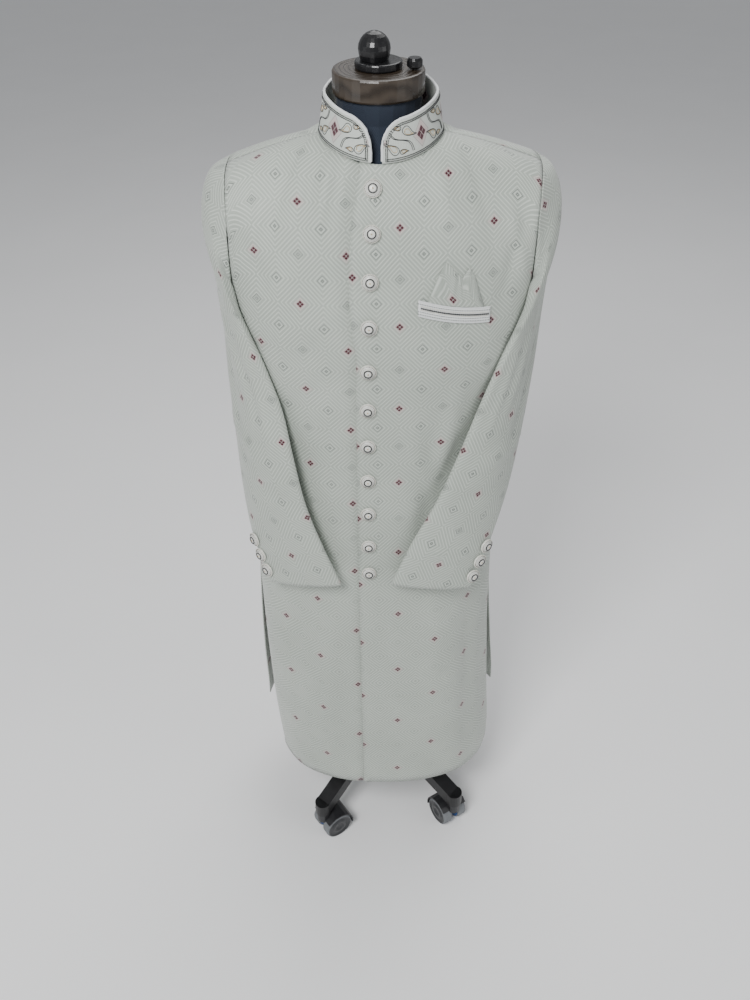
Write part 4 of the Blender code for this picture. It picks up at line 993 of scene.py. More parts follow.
def cloth_piece(node, points, uv, material, flat, area=None, wall=CLOTH, outwards=True):
    """A shell in the place of a node's solid."""
    points = points + grid_normals(points) * crease_lift(node, uv)[..., None]
    SURFACES[node] = (points, grid_normals(points), uv, wall if outwards else 0.0)
    obj = grid_piece(node + "_cloth", points, uv, material)
    shell = obj.modifiers.new("wall", "SOLIDIFY")
    shell.thickness = wall
    shell.offset = 1.0 if outwards else -1.0
    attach(obj, ROOT)
    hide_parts(node)
    return obj


def between_rows(values, row, col):
    """Reads an array of points between its rows and columns."""
    height, width = values.shape[:2]
    row, col = min(max(row, 0.0), height - 1.001), min(max(col, 0.0), width - 1.001)
    r, c = int(row), int(col)
    a, b = row - r, col - c
    low = values[r, c] * (1 - b) + values[r, c + 1] * b
    high = values[r + 1, c] * (1 - b) + values[r + 1, c + 1] * b
    return low * (1 - a) + high * a


def on_cloth(node, u, v, off=0.0):
    """A point some way off a piece's outer face, by its place on the cloth, and the normal there."""
    points, normals, uv, wall = SURFACES[node]
    row = 0.5 * len(points)
    for _ in range(4):
        across = uv[int(row), :, 0]
        turned_round = across[0] > across[-1]
        order = across[::-1] if turned_round else across
        col = np.interp(u, order, np.arange(len(order)))
        col = len(order) - 1 - col if turned_round else col
        along = uv[:, int(col), 1]
        row = np.interp(v, along, np.arange(len(along)))
    normal = between_rows(normals, row, col)
    normal /= np.linalg.norm(normal)
    return between_rows(points, row, col) + normal * (wall + off), normal


def smooth_rows(points, times):
    """More rows between the given ones, on smooth curves through them."""
    last = len(points) - 1
    rows = []
    for k in range(last * times + 1):
        r, t = min(k // times, last - 1), (k - min(k // times, last - 1) * times) / times
        before = points[max(r - 1, 0)]
        after = points[min(r + 2, last)]
        start, end = points[r], points[r + 1]
        slope, end_slope = 0.5 * (end - before), 0.5 * (after - start)
        rise = end - start
        rows.append(start + slope * t + (3 * rise - 2 * slope - end_slope) * t * t
                    + (slope + end_slope - 2 * rise) * t ** 3)
    return np.array(rows)


print("cloth tools are ready")

# %% [markdown]
# ## Fronts and back
# The coat has two fronts and a back, each cut in one length from neck to hem. The left front's free
# edge lies on top, and the right front goes under it. One closed tube with painted seams would be
# quicker, but no edge would catch the light. So each panel is a shell of its own, and the seams are
# narrow gaps. The crosses start where the photo shows them on each front.

# %% Body panels
CROSS_START = dict(left=(0.026, 0.042), right=(-0.044, 0.135), back=(0.0, 0.10),
                   sleeve_right=(0.012, 0.03), sleeve_left=(0.012, 0.06))


def front_grid(side):
    """A front's inner face, with the part under the placket set deeper."""
    rows, drops = [], []
    for level in FINE_LEVELS:
        columns = front_columns(side, level)
        deeper = 1 + UNDERLAP_DROP_AT_NECK * max(0.0, level - 1) / UNDERLAP_DROP
        rows.append([coat_point("front", a, level) for a in refine([c[0] for c in columns], 4)])
        drops.append([d * deeper for d in refine([c[1] for c in columns], 4)])
    points = np.array(rows)
    return points - grid_normals(points) * np.array(drops)[..., None], body_uv(points, "front")


def back_grid():
    """The back's inner face. Its angles pass the full turn at the middle, so they are unwrapped."""
    rows = []
    for level in FINE_LEVELS:
        angles = [a if a > 0 else a + 2 * math.pi for a in back_columns(level)]
        angles = [a if a <= math.pi else a - 2 * math.pi for a in refine(angles, 3)]
        rows.append([coat_point("back", a, level) for a in angles])
    points = np.array(rows)
    points[-1, :, 1] += SEAM_GAP
    return points, body_uv(points, "back")


FRONT_CUT = dict(flat=(0.34, 1.24), area=0.36)
BACK_CUT = dict(flat=(0.60, 1.26), area=0.66)
left_cloth = brocade("brocade_left", CROSS_START["left"])
right_cloth = brocade("brocade_right", CROSS_START["right"])
back_cloth = brocade("brocade_back", CROSS_START["back"])
cloth_piece("front_left", *front_grid(1), left_cloth, **FRONT_CUT)
cloth_piece("front_right", *front_grid(-1), right_cloth, **FRONT_CUT)
cloth_piece("back", *back_grid(), back_cloth, **BACK_CUT)
print("body panels have", len(FINE_LEVELS), "rows each")

# %% [markdown]
# ## Sleeves
# A tailored sleeve has a top and an under piece, and it bends forward at the elbow. A bent tube
# would do from afar, but its figure would swirl. Here the frame's rings run from armhole to cuff,
# smooth curves join them, and two ranges of angles give the two pieces. The UV map follows the line
# of the ring centres, so the figure runs straight down the sleeve.

# %% Sleeves
def sleeve_grid(side, table, piece):
    """A sleeve piece's outer face, between its two seams."""
    half_gap = 0.5 * SEAM_GAP / SLEEVE_GIRTH
    if piece == "top":
        first, last, count = -SLEEVE_SEAM + half_gap, SLEEVE_SEAM - half_gap, 4 * SLEEVE_TOP_COLUMNS
    else:
        first, last, count = SLEEVE_SEAM + half_gap, 1 - SLEEVE_SEAM - half_gap, 4 * SLEEVE_UNDER_COLUMNS
    columns = [first + (last - first) * step / count for step in range(count + 1)]
    if side < 0:
        columns.reverse()
    rings = np.array([[sleeve_point(side, table, ring, around) for around in columns]
                      for ring in range(len(table) + 1)])
    points = smooth_rows(rings, 8)
    centres = points.mean(axis=1, keepdims=True)
    axis = np.gradient(centres, axis=0)
    axis /= np.linalg.norm(axis, axis=2, keepdims=True)
    along = run_along(centres, 0) + ((points - centres) * axis).sum(axis=2)
    flat = points - (points * axis).sum(axis=2, keepdims=True) * axis
    across = run_along(flat, 1)
    across = (across - across[:, count // 2:count // 2 + 1]) * side
    return points, np.stack([across, along], axis=2)


for word, (side, table) in SLEEVES.items():
    look = brocade(f"brocade_sleeve_{word}", CROSS_START[f"sleeve_{word}"], fade=False)
    for piece, flat, area in (("top", (0.24, 0.68), 0.12), ("under", (0.14, 0.64), 0.06)):
        cloth_piece(f"sleeve_{word}_{piece}", *sleeve_grid(side, table, piece), look, flat, area,
                    outwards=False)
print("two sleeves of two pieces each")

# %% [markdown]
# ## Small sewn-on things
# The collar, the pocket and the buttons carry hundreds of tiny beads. Each could be an object of its
# own, but that would be slow. So one icosphere's points are repeated into a single mesh for each row
# of beads. Threads and piping are curves with a round bevel, made into meshes, and a turned piece is
# a grid rolled round its axis, with the doubles at its seam and poles merged.

# %% Beads, threads and turned pieces
def bead_shape():
    """The points and faces of one small ball, to be repeated."""
    deselect()
    bpy.ops.mesh.primitive_ico_sphere_add(subdivisions=1, radius=1.0)
    obj = bpy.context.object
    mesh = obj.data
    points = np.array([v.co[:] for v in mesh.vertices])
    faces = [tuple(p.vertices) for p in mesh.polygons]
    bpy.ops.object.delete()
    return points, faces


BEAD_POINTS, BEAD_FACES = bead_shape()


def join_all(name, objects):
    """One object from several, at the origin."""
    deselect()
    for obj in objects:
        obj.select_set(True)
    bpy.context.view_layer.objects.active = objects[0]
    if len(objects) > 1:
        bpy.ops.object.join()
    bpy.ops.object.transform_apply(location=True, rotation=True, scale=True)
    objects[0].name = name
    return objects[0]


def beads(name, centres, radius, material, flat=1.0, normals=None):
    """Beads at the given centres as one mesh, pressed flat along their normals if asked."""
    centres = np.array([tuple(c) for c in centres])
    shape = np.repeat(BEAD_POINTS[None] * radius, len(centres), axis=0)
    if flat != 1.0 and normals is not None:
        normals = np.array([tuple(n) for n in normals])
        along = np.einsum("bpk,bk->bp", shape, normals)
        shape -= (1 - flat) * along[..., None] * normals[:, None]
    points = (shape + centres[:, None]).reshape(-1, 3)
    count = len(BEAD_POINTS)
    faces = [tuple(k + b * count for k in face) for b in range(len(centres)) for face in BEAD_FACES]
    deselect()
    bpy.ops.mesh.primitive_ico_sphere_add(subdivisions=1, radius=radius)
    obj = bpy.context.object
    obj.name = name
    mesh = obj.data
    mesh.clear_geometry()
    mesh.from_pydata([tuple(p) for p in points], [], faces)
    mesh.shade_smooth()
    mesh.materials.append(material)
    return obj


def thread(name, points, radius, material, closed=False, sides=3):
    """A round tube along a line of points."""
    deselect()
    bpy.ops.curve.primitive_bezier_curve_add()
    obj = bpy.context.object
    obj.name = name
    curve = obj.data
    curve.splines.clear()
    spline = curve.splines.new("POLY")
    spline.points.add(len(points) - 1)
    for place, point in zip(spline.points, points):
        place.co = (*point, 1.0)
    spline.use_cyclic_u = closed
    curve.bevel_depth = radius
    curve.bevel_resolution = sides
    curve.use_fill_caps = True
    curve.materials.append(material)
    bpy.ops.object.convert(target="MESH")
    bpy.context.object.data.shade_smooth()
    return bpy.context.object


def lathe(name, profile, sides, material):
    """A turned piece about Z, from a profile of (radius, height) that starts at the foot."""
    swing = np.linspace(0.0, 2 * math.pi, sides + 1)
    points = np.array([[(r * math.cos(a), r * math.sin(a), h) for a in swing] for r, h in profile])
    length = run_along(points, 0)
    uv = np.stack([np.broadcast_to(swing / (2 * math.pi), length.shape), length], axis=2)
    obj = grid_piece(name, points, uv, material)
    bpy.ops.object.mode_set(mode="EDIT")
    bpy.ops.mesh.select_all(action="SELECT")
    bpy.ops.mesh.remove_doubles(threshold=0.00001)
    bpy.ops.object.mode_set(mode="OBJECT")
    return obj


def belongs(obj, look, body=ROOT, *nodes):
    """The piece rides on a body, in the place of nodes if named. The look is not used."""
    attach(obj, body)
    if nodes:
        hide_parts(*nodes)
    return obj


print("a bead has", len(BEAD_FACES), "faces")

# %% [markdown]
# ## The collar
# The collar is a stiff standing band with rounded ends. White piping edges it, two lines of tiny
# dark beads run inside the piping, and tall dark crosses stand between curling leaves. The leaves
# could be painted by the shader, but thread stands proud of the cloth, so they are thin tubes. All
# are placed by their distance along the band from its middle at the back.

# %% Collar cloth
def collar_grid(columns, ups):
    """The collar's inner face, round the neck from one front end to the other."""
    first, last = math.radians(COLLAR_ENDS[0]), math.radians(360 + COLLAR_ENDS[1])
    girth = math.pi * (NECK["half_width"] + NECK["front"])
    rows = [[] for _ in range(ups + 1)]
    for step in range(columns + 1):
        t = step / columns
        spread = t - COLLAR_CROWDING * math.sin(2 * math.pi * t)
        angle = first + (last - first) * spread
        from_end = girth * min(spread, 1 - spread)
        height = COLLAR["height"]
        if from_end < COLLAR["end_round"]:
            back = 1 - from_end / COLLAR["end_round"]
            height = COLLAR["end_height"] + (height - COLLAR["end_height"]) * math.sqrt(1 - back ** 2)
        sine, cosine = math.sin(angle), math.cos(angle)
        depth = NECK["front"] if cosine > 0 else NECK["back"]
        middle = NECK_HEIGHT["front"] if cosine > 0 else NECK_HEIGHT["back"]
        seam = middle + (NECK_HEIGHT["side"] - middle) * sine ** 2
        base = seam + CLOTH * (0.75 + 0.25 * sine ** 2) + LAY_GAP
        for k, row in enumerate(rows):
            lean = (k / ups) * height / COLLAR["height"]
            half_width = NECK["half_width"] - COLLAR["lean_side"] * lean
            reach = depth - COLLAR["lean_front"] * lean
            row.append((NECK["x"] + half_width * sine, NECK["y"] - reach * cosine,
                        base + (k / ups) * height))
    points = np.array(rows)
    across = run_along(points, 1)[:1]
    across = np.repeat(across - 0.5 * across[:, -1:], ups + 1, axis=0)
    return points, np.stack([across, run_along(points, 0)], axis=2)


COLLAR_CROSSES = dict(spacing=0.0610, height=0.0255, petal=0.0034, reach=0.0037, tall=1.35, halo=0.0125)
COLLAR_GROUND = dict(small=0.0042, weave=0.0011)


def collar_cloth():
    """The collar's cloth: a fine silver figure all over, and one tall cross at each spacing."""
    material = new_material("collar_cloth", CREAM, 0.45, Sheen_Weight=0.25)
    across, along, _ = coordinates(material, "UV")
    size = COLLAR_CROSSES
    x = abs((across * (1 / size["spacing"]) + 0.5).wrap() - 0.5) * size["spacing"]
    y = abs(along - size["height"]) * (1 / size["tall"])
    far, near = x.most(y), x.least(y)
    petals = (abs(far - size["reach"]) + near).inside(size["petal"], 0.0003)
    halo = (x + y).inside(size["halo"], 0.003)
    edge = abs(x + y - size["halo"]).inside(0.0004, 0.0002)
    small, fine = 1 / COLLAR_GROUND["small"], 1 / COLLAR_GROUND["weave"]
    small = ((across + along).wave(small) * (across - along).wave(small)) * 0.5 + 0.5
    weave = across.wave(fine) * along.wave(fine) * 0.5 + 0.5
    ground = (small * 0.6 + weave * 0.4).apply("ADD", 0.0, clamp=True)
    layers = [(ground, CREAM), (halo * 0.4, PINK), (edge * 0.6, THREAD), (petals, MAROON)]
    tint(material, (0.50, 0.53, 0.50), layers)
    set_bump(material, small * 0.5 + weave * 0.3 + petals * 0.6, 0.0005)
    return material


cloth_piece("collar", *collar_grid(150, 14), collar_cloth(), (0.50, 0.055), 0.024, wall=COLLAR_WALL)
COLLAR_HALF = SURFACES["collar"][2][0, -1, 0]
print("collar", round(2 * COLLAR_HALF, 3), "m along its foot")

# %% Piping and rows of beads
def collar_top(u):
    """How high the collar is at a place along it."""
    uv = SURFACES["collar"][2]
    return float(np.interp(u, uv[0, :, 0], uv[-1, :, 1]))


def collar_outline(inset, count=260):
    """Up one end, along the upper edge and down the other end, some way inside the edge."""
    across = np.linspace(-COLLAR_HALF, COLLAR_HALF, count)
    rise = np.linspace(0.0, collar_top(-COLLAR_HALF), 8)[:-1]
    line = [(-COLLAR_HALF, v) for v in rise]
    line += [(u, collar_top(u)) for u in across]
    line += [(COLLAR_HALF, v) for v in rise[::-1]]
    line = np.array(line)
    run = np.gradient(line, axis=0)
    inward = np.stack([run[:, 1], -run[:, 0]], axis=1)
    inward /= np.linalg.norm(inward, axis=1, keepdims=True)
    inside = line + inward * inset
    return inside[inside[:, 1] > 0.0014]


def spaced(line, step):
    """Points at even steps along a line."""
    line = np.array(line, float)
    length = np.concatenate([[0.0], np.cumsum(np.linalg.norm(np.diff(line, axis=0), axis=1))])
    at = np.arange(0.5 * step, length[-1], step)
    return np.stack([np.interp(at, length, line[:, k]) for k in range(line.shape[1])], axis=1)


PIPING = dict(radius=0.0019, in_wall=-0.5 * COLLAR_WALL)
edge = [on_cloth("collar", u, v, PIPING["in_wall"])[0] for u, v in collar_outline(0.0004)]
belongs(thread("collar_piping", edge, PIPING["radius"], WHITE_SATIN, sides=4), "brocade")

BEAD_LINES = dict(insets=(0.0046, 0.0068), feet=(0.0024, 0.0048), from_end=0.004, step=0.00155,
                  radius=0.00078, off=0.0003)
bead_end = COLLAR_HALF - BEAD_LINES["from_end"]
lines = [collar_outline(inset) for inset in BEAD_LINES["insets"]]
lines += [[(-bead_end, foot), (bead_end, foot)] for foot in BEAD_LINES["feet"]]
dark = []
for line in lines:
    places = spaced(line, BEAD_LINES["step"])
    dark += [on_cloth("collar", u, v, BEAD_LINES["off"])[0] for u, v in places]
belongs(beads("collar_bead_lines", dark, BEAD_LINES["radius"], DARK_BEAD), "brocade")
print(len(dark), "beads on the collar")

# %% Embroidery
def curled_leaf(u, v, size, lean, curl):
    """The outline of a leaf with a curled tip, on the cloth."""
    line = []
    for k in range(31):
        t = k / 30
        swing = 2 * math.pi * t
        x = 0.36 * size * math.sin(swing) * math.sin(0.5 * swing) ** 1.4
        y = 0.5 * size * math.cos(swing)
        x += curl * size * (y / size + 0.5) ** 3
        line.append((u + x * math.cos(lean) - y * math.sin(lean),
                     v + x * math.sin(lean) + y * math.cos(lean)))
    return line


def wavy(u1, v1, u2, v2, swing):
    """A line shaped like a long S, on the cloth."""
    run = math.hypot(u2 - u1, v2 - v1)
    line = []
    for k in range(25):
        t = k / 24
        off = swing * math.sin(2 * math.pi * t)
        line.append((u1 + (u2 - u1) * t - off * (v2 - v1) / run,
                     v1 + (v2 - v1) * t + off * (u2 - u1) / run))
    return line


def on_collar(line):
    """The part of a line that stays inside the rows of beads, laid on the collar's cloth."""
    kept = [(u, v) for u, v in line if v < collar_top(u) - 0.005 and v > 0.0055]
    return [on_cloth("collar", u, v, EMBROIDERY["off"])[0] for u, v in kept]


EMBROIDERY = dict(dark=0.00042, silver=0.00050, gold=0.00045, off=0.0002)
INNER_LEAF = 0.62
# Each leaf's place from the middle between two crosses, then its size, lean and curl
LEAVES = (
    (0.010, 0.018, 0.020, -0.5, 0.45), (-0.010, 0.032, 0.020, 2.6, 0.45),
    (-0.004, 0.012, 0.011, 1.3, -0.3), (0.005, 0.040, 0.011, -1.7, -0.3),
)
dark_lines, silver_lines, gold_lines = [], [], []
for half in (-1, 1):
    for number in range(4):
        middle = half * (0.5 + number) * COLLAR_CROSSES["spacing"]
        lines = dark_lines if number > 1 else silver_lines
        for u, v, size, lean, curl in LEAVES:
            place = (middle + u * half, v)
            lines.append(curled_leaf(*place, size, lean * half, curl * half))
            gold_lines.append(curled_leaf(*place, INNER_LEAF * size, lean * half, curl * half))
        for step in (0.0, 0.0022):
            start, end = middle - (0.018 - step) * half, middle + (0.016 + step) * half
            lines.append(wavy(start, 0.009, end, 0.043, 0.0048 * half))
THREADS = (
    ("dark", dark_lines, BLACK_THREAD), ("silver", silver_lines, SILVER_THREAD),
    ("gold", gold_lines, GOLD_BEAD),
)
for name, lines, material in THREADS:
    tubes = [thread(f"leaf_{name}", on_collar(line), EMBROIDERY[name], material, sides=1)
             for line in lines if len(on_collar(line)) > 3]
    belongs(join_all(f"collar_leaves_{name}", tubes), "brocade")
print(len(dark_lines + silver_lines + gold_lines), "embroidered lines")

# %% [markdown]
# ## The breast pocket
# The pocket's welt is a narrow white band with a row of black beads between dashed lines, and a
# folded square of the coat's cloth stands in it. Both lie on the left front, so their points come
# from its surface, moved out by a small gap. The square's folds are ridges that grow to its peaks.

# %% Pocket
def patch_grid(columns, rows, foot, top):
    """Points over the left front, between a lower and an upper line along the pocket."""
    points = []
    for k in range(rows + 1):
        row = []
        for step in range(columns + 1):
            along = step / columns
            low, high = foot(along), top(along)
            x = WELT["inner_x"] + (WELT["outer_x"] - WELT["inner_x"]) * low[0]
            height = low[1] + (high[1] - low[1]) * k / rows
            row.append(front_outside(x, height, PATCH_LIFT)[0])
        points.append(row)
    points = np.array(points)
    return points, np.stack([run_along(points, 1), run_along(points, 0)], axis=2)


def pocket_mouth(along):
    """The height of the welt's upper edge, which slopes and sags a little."""
    height = WELT["inner_height"] + (WELT["outer_height"] - WELT["inner_height"]) * along
    return height - WELT_SAG * math.sin(math.pi * along)


def welt_foot(along):
    return along, pocket_mouth(along) - WELT["width"]


def welt_top(along):
    return along, pocket_mouth(along)


SQUARE_STOPS = column(SQUARE_TOP, "along")
SQUARE_PEAKS = column(SQUARE_TOP, "height")


def square_foot(along):
    place = SQUARE_STOPS[0] + (SQUARE_STOPS[-1] - SQUARE_STOPS[0]) * along
    return place, pocket_mouth(place) + SQUARE["foot"]


def square_top(along):
    place, foot = square_foot(along)
    return place, foot + float(np.interp(place, SQUARE_STOPS, SQUARE_PEAKS))


# Heights on the welt, in metres from its foot
WELT_ROWS = dict(dashes=((0.0175, 0.0006), (0.0068, 0.0006), (0.0032, 0.0007)), black=0.0122,
                 small=0.0149, down=0.0054, edges=(0.0006, 0.0209), from_end=0.003)


def welt_cloth():
    """White with three dashed dark lines that run along the welt."""
    material = new_material("welt_cloth", (0.78, 0.80, 0.79), 0.45, Sheen_Weight=0.2)
    across, along, _ = coordinates(material, "UV")
    dashes = (across.wave(1 / 0.0024) * 4.0 + 1.6).apply("ADD", 0.0, clamp=True)
    lines = None
    for height, half_width in WELT_ROWS["dashes"]:
        line = abs(along - height).inside(half_width, 0.0002)
        lines = lines.most(line) if lines else line
    ribs = along.wave(1 / 0.0018) * 0.5 + 0.5
    tint(material, (0.66, 0.69, 0.67), [(ribs, (0.82, 0.84, 0.83)), (lines * dashes, (0.07, 0.075, 0.08))])
    set_bump(material, ribs * 0.6 + lines * dashes * 0.6, 0.0006)
    return material


cloth_piece("pocket_welt", *patch_grid(40, 10, welt_foot, welt_top), welt_cloth(), (0.10, 0.0215),
            wall=WELT_WALL)
WELT_LENGTH = SURFACES["pocket_welt"][2][5, -1, 0]
first, last = WELT_ROWS["from_end"], WELT_LENGTH - WELT_ROWS["from_end"]
row = spaced([(first, WELT_ROWS["black"]), (last, WELT_ROWS["black"])], 0.0029)
black = [on_cloth("pocket_welt", u, v, 0.0008)[0] for u, v in row]
belongs(beads("welt_beads", black, 0.0015, DARK_BEAD), "brocade")
small = spaced([(first, WELT_ROWS["small"]), (last, WELT_ROWS["small"])], 0.0016)
small = np.concatenate([small, small - (0.0, WELT_ROWS["down"])])
white = [on_cloth("pocket_welt", u, v, 0.0002)[0] for u, v in small]
belongs(beads("welt_white_beads", white, 0.0007, CREAM_BEAD), "brocade")
edges = []
for v in WELT_ROWS["edges"]:
    across = np.linspace(0.001, WELT_LENGTH - 0.001, 40)
    line = [on_cloth("pocket_welt", u, v, -0.0008)[0] for u in across]
    edges.append(thread("welt_edge", line, 0.0012, WHITE_SATIN))
belongs(join_all("welt_edges", edges), "brocade")
print(len(row), "black beads on the welt")

# %% [markdown]
# ## The folded square
# A pocket square is a piece of cloth that is folded so that its peaks stand above the welt. To fold
# a real sheet in the computer would be slow and hard to steer. Here one patch of the coat's brocade
# rises to the peaks, a few narrow ridges stand for the folds, and the upper edge waves a little.

# %% Folded square
SQUARE_GRID = (72, 26)
# Each ridge: its height, its place along the square, its lean with height and its width
RIDGES = ((0.0016, 0.42, 0.05, 0.035), (0.0013, 0.60, -0.06, 0.03), (0.0011, 0.74, -0.03, 0.03),
          (0.0009, 0.24, -0.04, 0.04))
EDGE_WAVE = dict(height=0.0007, fine=140.0, only_near_edge=8)
points, uv = patch_grid(*SQUARE_GRID, square_foot, square_top)
share = np.linspace(0.0, 1.0, SQUARE_GRID[0] + 1)[None]
up = np.linspace(0.0, 1.0, SQUARE_GRID[1] + 1)[:, None]
ridges = sum(high * np.exp(-((share - place - lean * up) / width) ** 2)
             for high, place, lean, width in RIDGES)
points = points + grid_normals(points) * (ridges * np.sqrt(up))[..., None]
near_edge = up[1:] ** EDGE_WAVE["only_near_edge"]
points[1:, :, 2] += EDGE_WAVE["height"] * np.sin(share * EDGE_WAVE["fine"]) * near_edge
cloth_piece("pocket_square", points, uv, brocade("square_cloth", (0.0335, 0.0095), fade=False),
            (0.080, 0.055), 0.0032, wall=SQUARE["wall"])
print("the square's cloth has", points.shape[0] * points.shape[1], "points")

# %% [markdown]
# ## Buttons
# A button is a domed disc with rings of beads: cream at the rim, thin grey inside it, then a thick
# black ring and a small bead of gold in the middle. All seventeen are alike, so one is modelled
# about Z, and each copy gets its own mesh, turned to the cloth's outward direction at its place.

# %% One button
def ring_of(count, radius, height):
    """Even places on a circle about Z."""
    return [(radius * math.cos(2 * math.pi * k / count), radius * math.sin(2 * math.pi * k / count), height)
            for k in range(count)]


DOME = ((0.0, 0.0), (0.94, 0.0), (1.0, 0.10), (0.98, 0.26), (0.90, 0.42), (0.78, 0.56), (0.64, 0.69),
        (0.50, 0.79), (0.36, 0.87), (0.20, 0.92), (0.0, 0.94))
RINGS = (
    ("button_rim_beads", 32, 0.955, 0.40, 0.00095, "CREAM_BEAD"),
    ("button_rim_gaps", 32, 0.875, 0.50, 0.00062, "DARK_BEAD"),
    ("button_grey_beads", 28, 0.71, 0.67, 0.00060, "SILVER_THREAD"),
    ("button_black_beads", 17, 0.475, 0.86, 0.00125, "DARK_BEAD"),
)
BUTTON_SATIN = hard("button_satin", (0.74, 0.74, 0.69), 0.35, grain=700.0, Coat_Weight=0.3)
LOOKS = dict(CREAM_BEAD=CREAM_BEAD, SILVER_THREAD=SILVER_THREAD, DARK_BEAD=DARK_BEAD)
radius, height = BUTTON["radius"], BUTTON["height"]
parts = [lathe("button_dome", [(r * radius, h * height) for r, h in DOME], 28, BUTTON_SATIN)]
for name, count, reach, level, size, look in RINGS:
    parts.append(beads(name, ring_of(count, reach * radius, level * height), size, LOOKS[look]))
parts.append(thread("button_black_ring", ring_of(28, 0.475 * radius, 0.84 * height), 0.0010, DARK_BEAD,
                    closed=True, sides=2))
parts.append(beads("button_centre", [(0.0, 0.0, 0.97 * height)], 0.0012, GOLD_BEAD))
BUTTON_MASTER = join_all("button_master", parts)
print("a button has", len(BUTTON_MASTER.data.polygons), "faces")

# %% Buttons on the coat
def set_button(name, place, normal):
    """A copy of the button that stands at a place of the cloth and faces outwards."""
    deselect()
    obj = BUTTON_MASTER.copy()
    obj.data = BUTTON_MASTER.data.copy()
    bpy.context.scene.collection.objects.link(obj)
    turn = Vector(normal).to_track_quat("Z", "Y").to_matrix().to_4x4()
    obj.matrix_world = Matrix.Translation(place) @ turn
    join_all(name + "_beaded", [obj])
    belongs(obj, "buttons", ROOT, name)


for number, height in enumerate(FRONT_BUTTON_HEIGHTS, 1):
    x = from_table(PLACKET_EDGE, "x", height) + BUTTON_INSET
    set_button(f"front_button_{number}", *front_outside(x, height, PATCH_LIFT))
for word, (side, table) in SLEEVES.items():
    for number, (along, around) in enumerate(CUFF_BUTTONS["rows"], 1):
        set_button(f"cuff_button_{word}_{number}", *cuff_place(side, table, along, around))
bpy.data.objects.remove(BUTTON_MASTER)
print("17 buttons")

# %% [markdown]
# ## The form and its stand
# Under the coat are a padded form in a dark knit, a turned wooden cap with black fittings, a steel
# pole and a painted base on castors. These keep the frame's own shapes, which are already right, and
# only get their finishes.

# %% Finishes of the form and the stand
FORM_KNIT = knit("form_knit", (0.010, 0.018, 0.034), 0.0022)
CAP_WOOD = wood("cap_wood", (0.016, 0.011, 0.007), (0.052, 0.038, 0.026), 0.34)
BOARD_WOOD = wood("board_wood", (0.06, 0.045, 0.032), (0.13, 0.10, 0.075), 0.5)
BLACK_GLOSS = hard("black_gloss", (0.006, 0.006, 0.007), 0.25, grain=30.0, wear=0.4)
BLACK_PAINT = hard("black_paint", (0.010, 0.010, 0.011), 0.38, 0.3, grain=60.0, wear=0.5)
POLE_METAL = hard("pole_metal", (0.50, 0.50, 0.51), 0.26, 1.0, grain=120.0, wear=0.1)
HOOD_PLASTIC = hard("hood_plastic", (0.014, 0.014, 0.016), 0.42, grain=80.0, wear=0.4)
TREAD = hard("tread", (0.16, 0.17, 0.18), 0.6, grain=90.0, wear=0.2)
HUB_DARK = hard("wheel_hub", (0.03, 0.031, 0.034), 0.4, grain=70.0, wear=0.3)
BLUE_DISC = hard("blue_disc", (0.03, 0.10, 0.32), 0.35, grain=70.0, wear=0.2)
FINISHES = (
    ("form_torso", FORM_KNIT), ("base_board", BOARD_WOOD), ("neck_cap", CAP_WOOD),
    ("cap_flange", BLACK_GLOSS), ("ball_knob", BLACK_GLOSS), ("lock_knob", BLACK_GLOSS),
    ("pole_sleeve", BLACK_PAINT), ("pole", POLE_METAL), ("hub", BLACK_PAINT), ("leg_", BLACK_PAINT),
    ("castor_hood_", HOOD_PLASTIC),
)
for name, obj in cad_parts.items():
    for start, material in FINISHES:
        if name.startswith(start):
            for place in obj.material_slots:
                place.material = material
            break
print(len(FINISHES), "finishes on the frame's own pieces")

# %% [markdown]
# ## Castor wheels
# Each castor holds a pair of wheels: a grey tread, a dark dished face and a blue disc inside. The
# frame's wheels have flat facets, which would still show in outline after smoothing. So each wheel
# is turned from its own profile with many sides, and each pair stands in for the frame's pair.

# %% Wheels
APOTHEM = WHEEL["radius"] * math.cos(math.pi / WHEEL["sides"])


def wheel(name, side):
    """One wheel about Z: tread, dark ring and a dished face, with its inner face towards the web."""
    r, inner, wide = APOTHEM, 0.5 * WHEEL["gap"], WHEEL["width"]
    tread = [(0.90 * r, 0.0), (0.97 * r, 0.0006), (r, 0.003), (r, 0.5 * wide - 0.0008),
             (0.985 * r, 0.5 * wide), (r, 0.5 * wide + 0.0008), (r, wide - 0.004),
             (0.97 * r, wide - 0.0012), (0.90 * r, wide)]
    face = [(0.90 * r, wide), (0.86 * r, wide - 0.0005), (0.80 * r, wide - 0.0022),
            (0.58 * r, wide - 0.0022), (0.55 * r, wide - 0.0002), (0.30 * r, wide - 0.0004),
            (0.27 * r, wide - 0.002), (0.0, wide - 0.002)]
    disc = [(0.14 * r, 0.0), (0.90 * r, 0.0)]
    pieces = [lathe("tread", tread, 48, TREAD), lathe("wheel_face", face, 48, HUB_DARK),
              lathe("wheel_disc", disc, 48, BLUE_DISC)]
    obj = join_all(name, pieces)
    flip = Matrix.Rotation(math.pi if side < 0 else 0.0, 4, "X")
    obj.matrix_world = Matrix.Rotation(math.pi / 2, 4, "X") @ flip @ Matrix.Translation((0.0, 0.0, inner))
    return obj


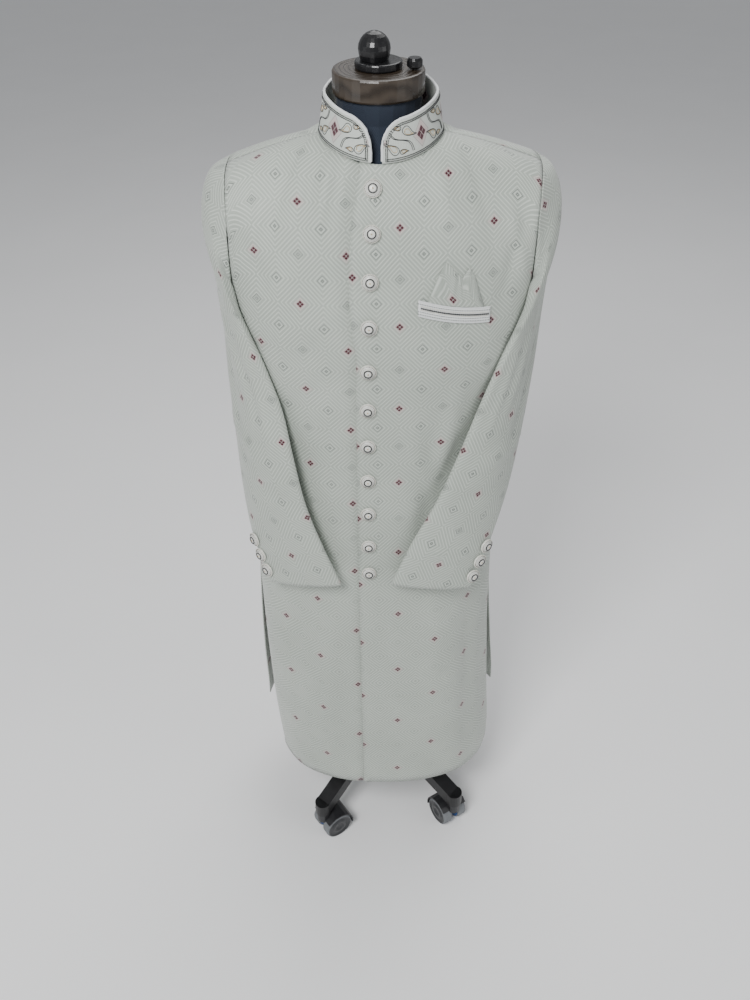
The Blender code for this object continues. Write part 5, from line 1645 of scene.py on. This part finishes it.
for number, turn in enumerate(CASTOR_TURNS):
    swing = BASE_TURN - math.pi / 4 + number * math.pi / 2
    place = Matrix.Translation((LEG_REACH * math.cos(swing), LEG_REACH * math.sin(swing), 0.0))
    place = place @ Matrix.Rotation(turn, 4, "Z") @ Matrix.Translation((TRAIL, 0.0, APOTHEM))
    pair = [wheel(f"wheel_{number}_{side}", side) for side in (1, -1)]
    for obj in pair:
        obj.matrix_world = place @ obj.matrix_world
    name = f"castor_wheels_{number + 1}"
    belongs(join_all(name + "_round", pair), "castor_tyres", name, name)
print("4 pairs of wheels")

# %% [markdown]
# ## Studio
# A plain pale floor lets the cream cloth show. The key is a soft area light in front, high up and a
# little to the left, so that the chest is brighter than the hem. A weak fill from the right and a
# weaker low light from the left open the shadows, and a light from behind and above parts the
# shoulders from the background. The camera looks down, because the photo was taken from above.

# %% Floor, lights and camera
deselect()
bpy.ops.mesh.primitive_plane_add(size=30.0, location=(0.0, 0.0, 0.0))
floor = bpy.context.object
floor.name = "floor"
floor_paper = hard("floor_paper", (0.92, 0.92, 0.92), 0.8, grain=3.0, wear=0.02, bump=0.00005)
floor.data.materials.append(floor_paper)
LIGHTS = (
    ("key", (-0.8, -2.0, 3.0), 1.0, 88.0),
    ("fill", (2.6, -1.4, 1.6), 1.6, 16.0),
    ("top", (0.3, 1.4, 3.2), 2.0, 40.0),
    ("low", (-2.2, -1.2, 0.8), 1.4, 6.0),
)
for name, place, size, power_watts in LIGHTS:
    bpy.ops.object.light_add(type="AREA", location=place)
    light = bpy.context.object
    light.name = f"{name}_light"
    light.data.size = size
    light.data.energy = power_watts
    light.rotation_euler = (Vector((0.0, 0.0, 0.85)) - Vector(place)).to_track_quat("-Z", "Y").to_euler()
world = bpy.data.worlds.new("studio")
bpy.context.scene.world = world
world.use_nodes = True
world.node_tree.nodes["Background"].inputs["Color"].default_value = (0.95, 0.97, 1.0, 1.0)
world.node_tree.nodes["Background"].inputs["Strength"].default_value = 0.36

CAMERA = dict(place=(0.0, -1.33, 1.80), lens=36.0, sensor=36.0, near=0.05, down=38.3, turn=0.475,
              roll=-0.7)
turn, down, roll = (math.radians(CAMERA[key]) for key in ("turn", "down", "roll"))
forward = Vector((-math.sin(turn) * math.cos(down), math.cos(turn) * math.cos(down), -math.sin(down)))
level_right = Vector((math.cos(turn), math.sin(turn), 0.0))
level_up = level_right.cross(forward)
right = level_right * math.cos(roll) + level_up * math.sin(roll)
upward = level_up * math.cos(roll) - level_right * math.sin(roll)
bpy.ops.object.camera_add(location=CAMERA["place"])
camera = bpy.context.object
camera.data.lens = CAMERA["lens"]
camera.data.sensor_width = CAMERA["sensor"]
camera.data.clip_start = CAMERA["near"]
axes = Matrix((right, upward, -forward)).transposed().to_4x4()
camera.matrix_world = Matrix.Translation(CAMERA["place"]) @ axes
bpy.context.scene.camera = camera
print("camera at", CAMERA["place"])
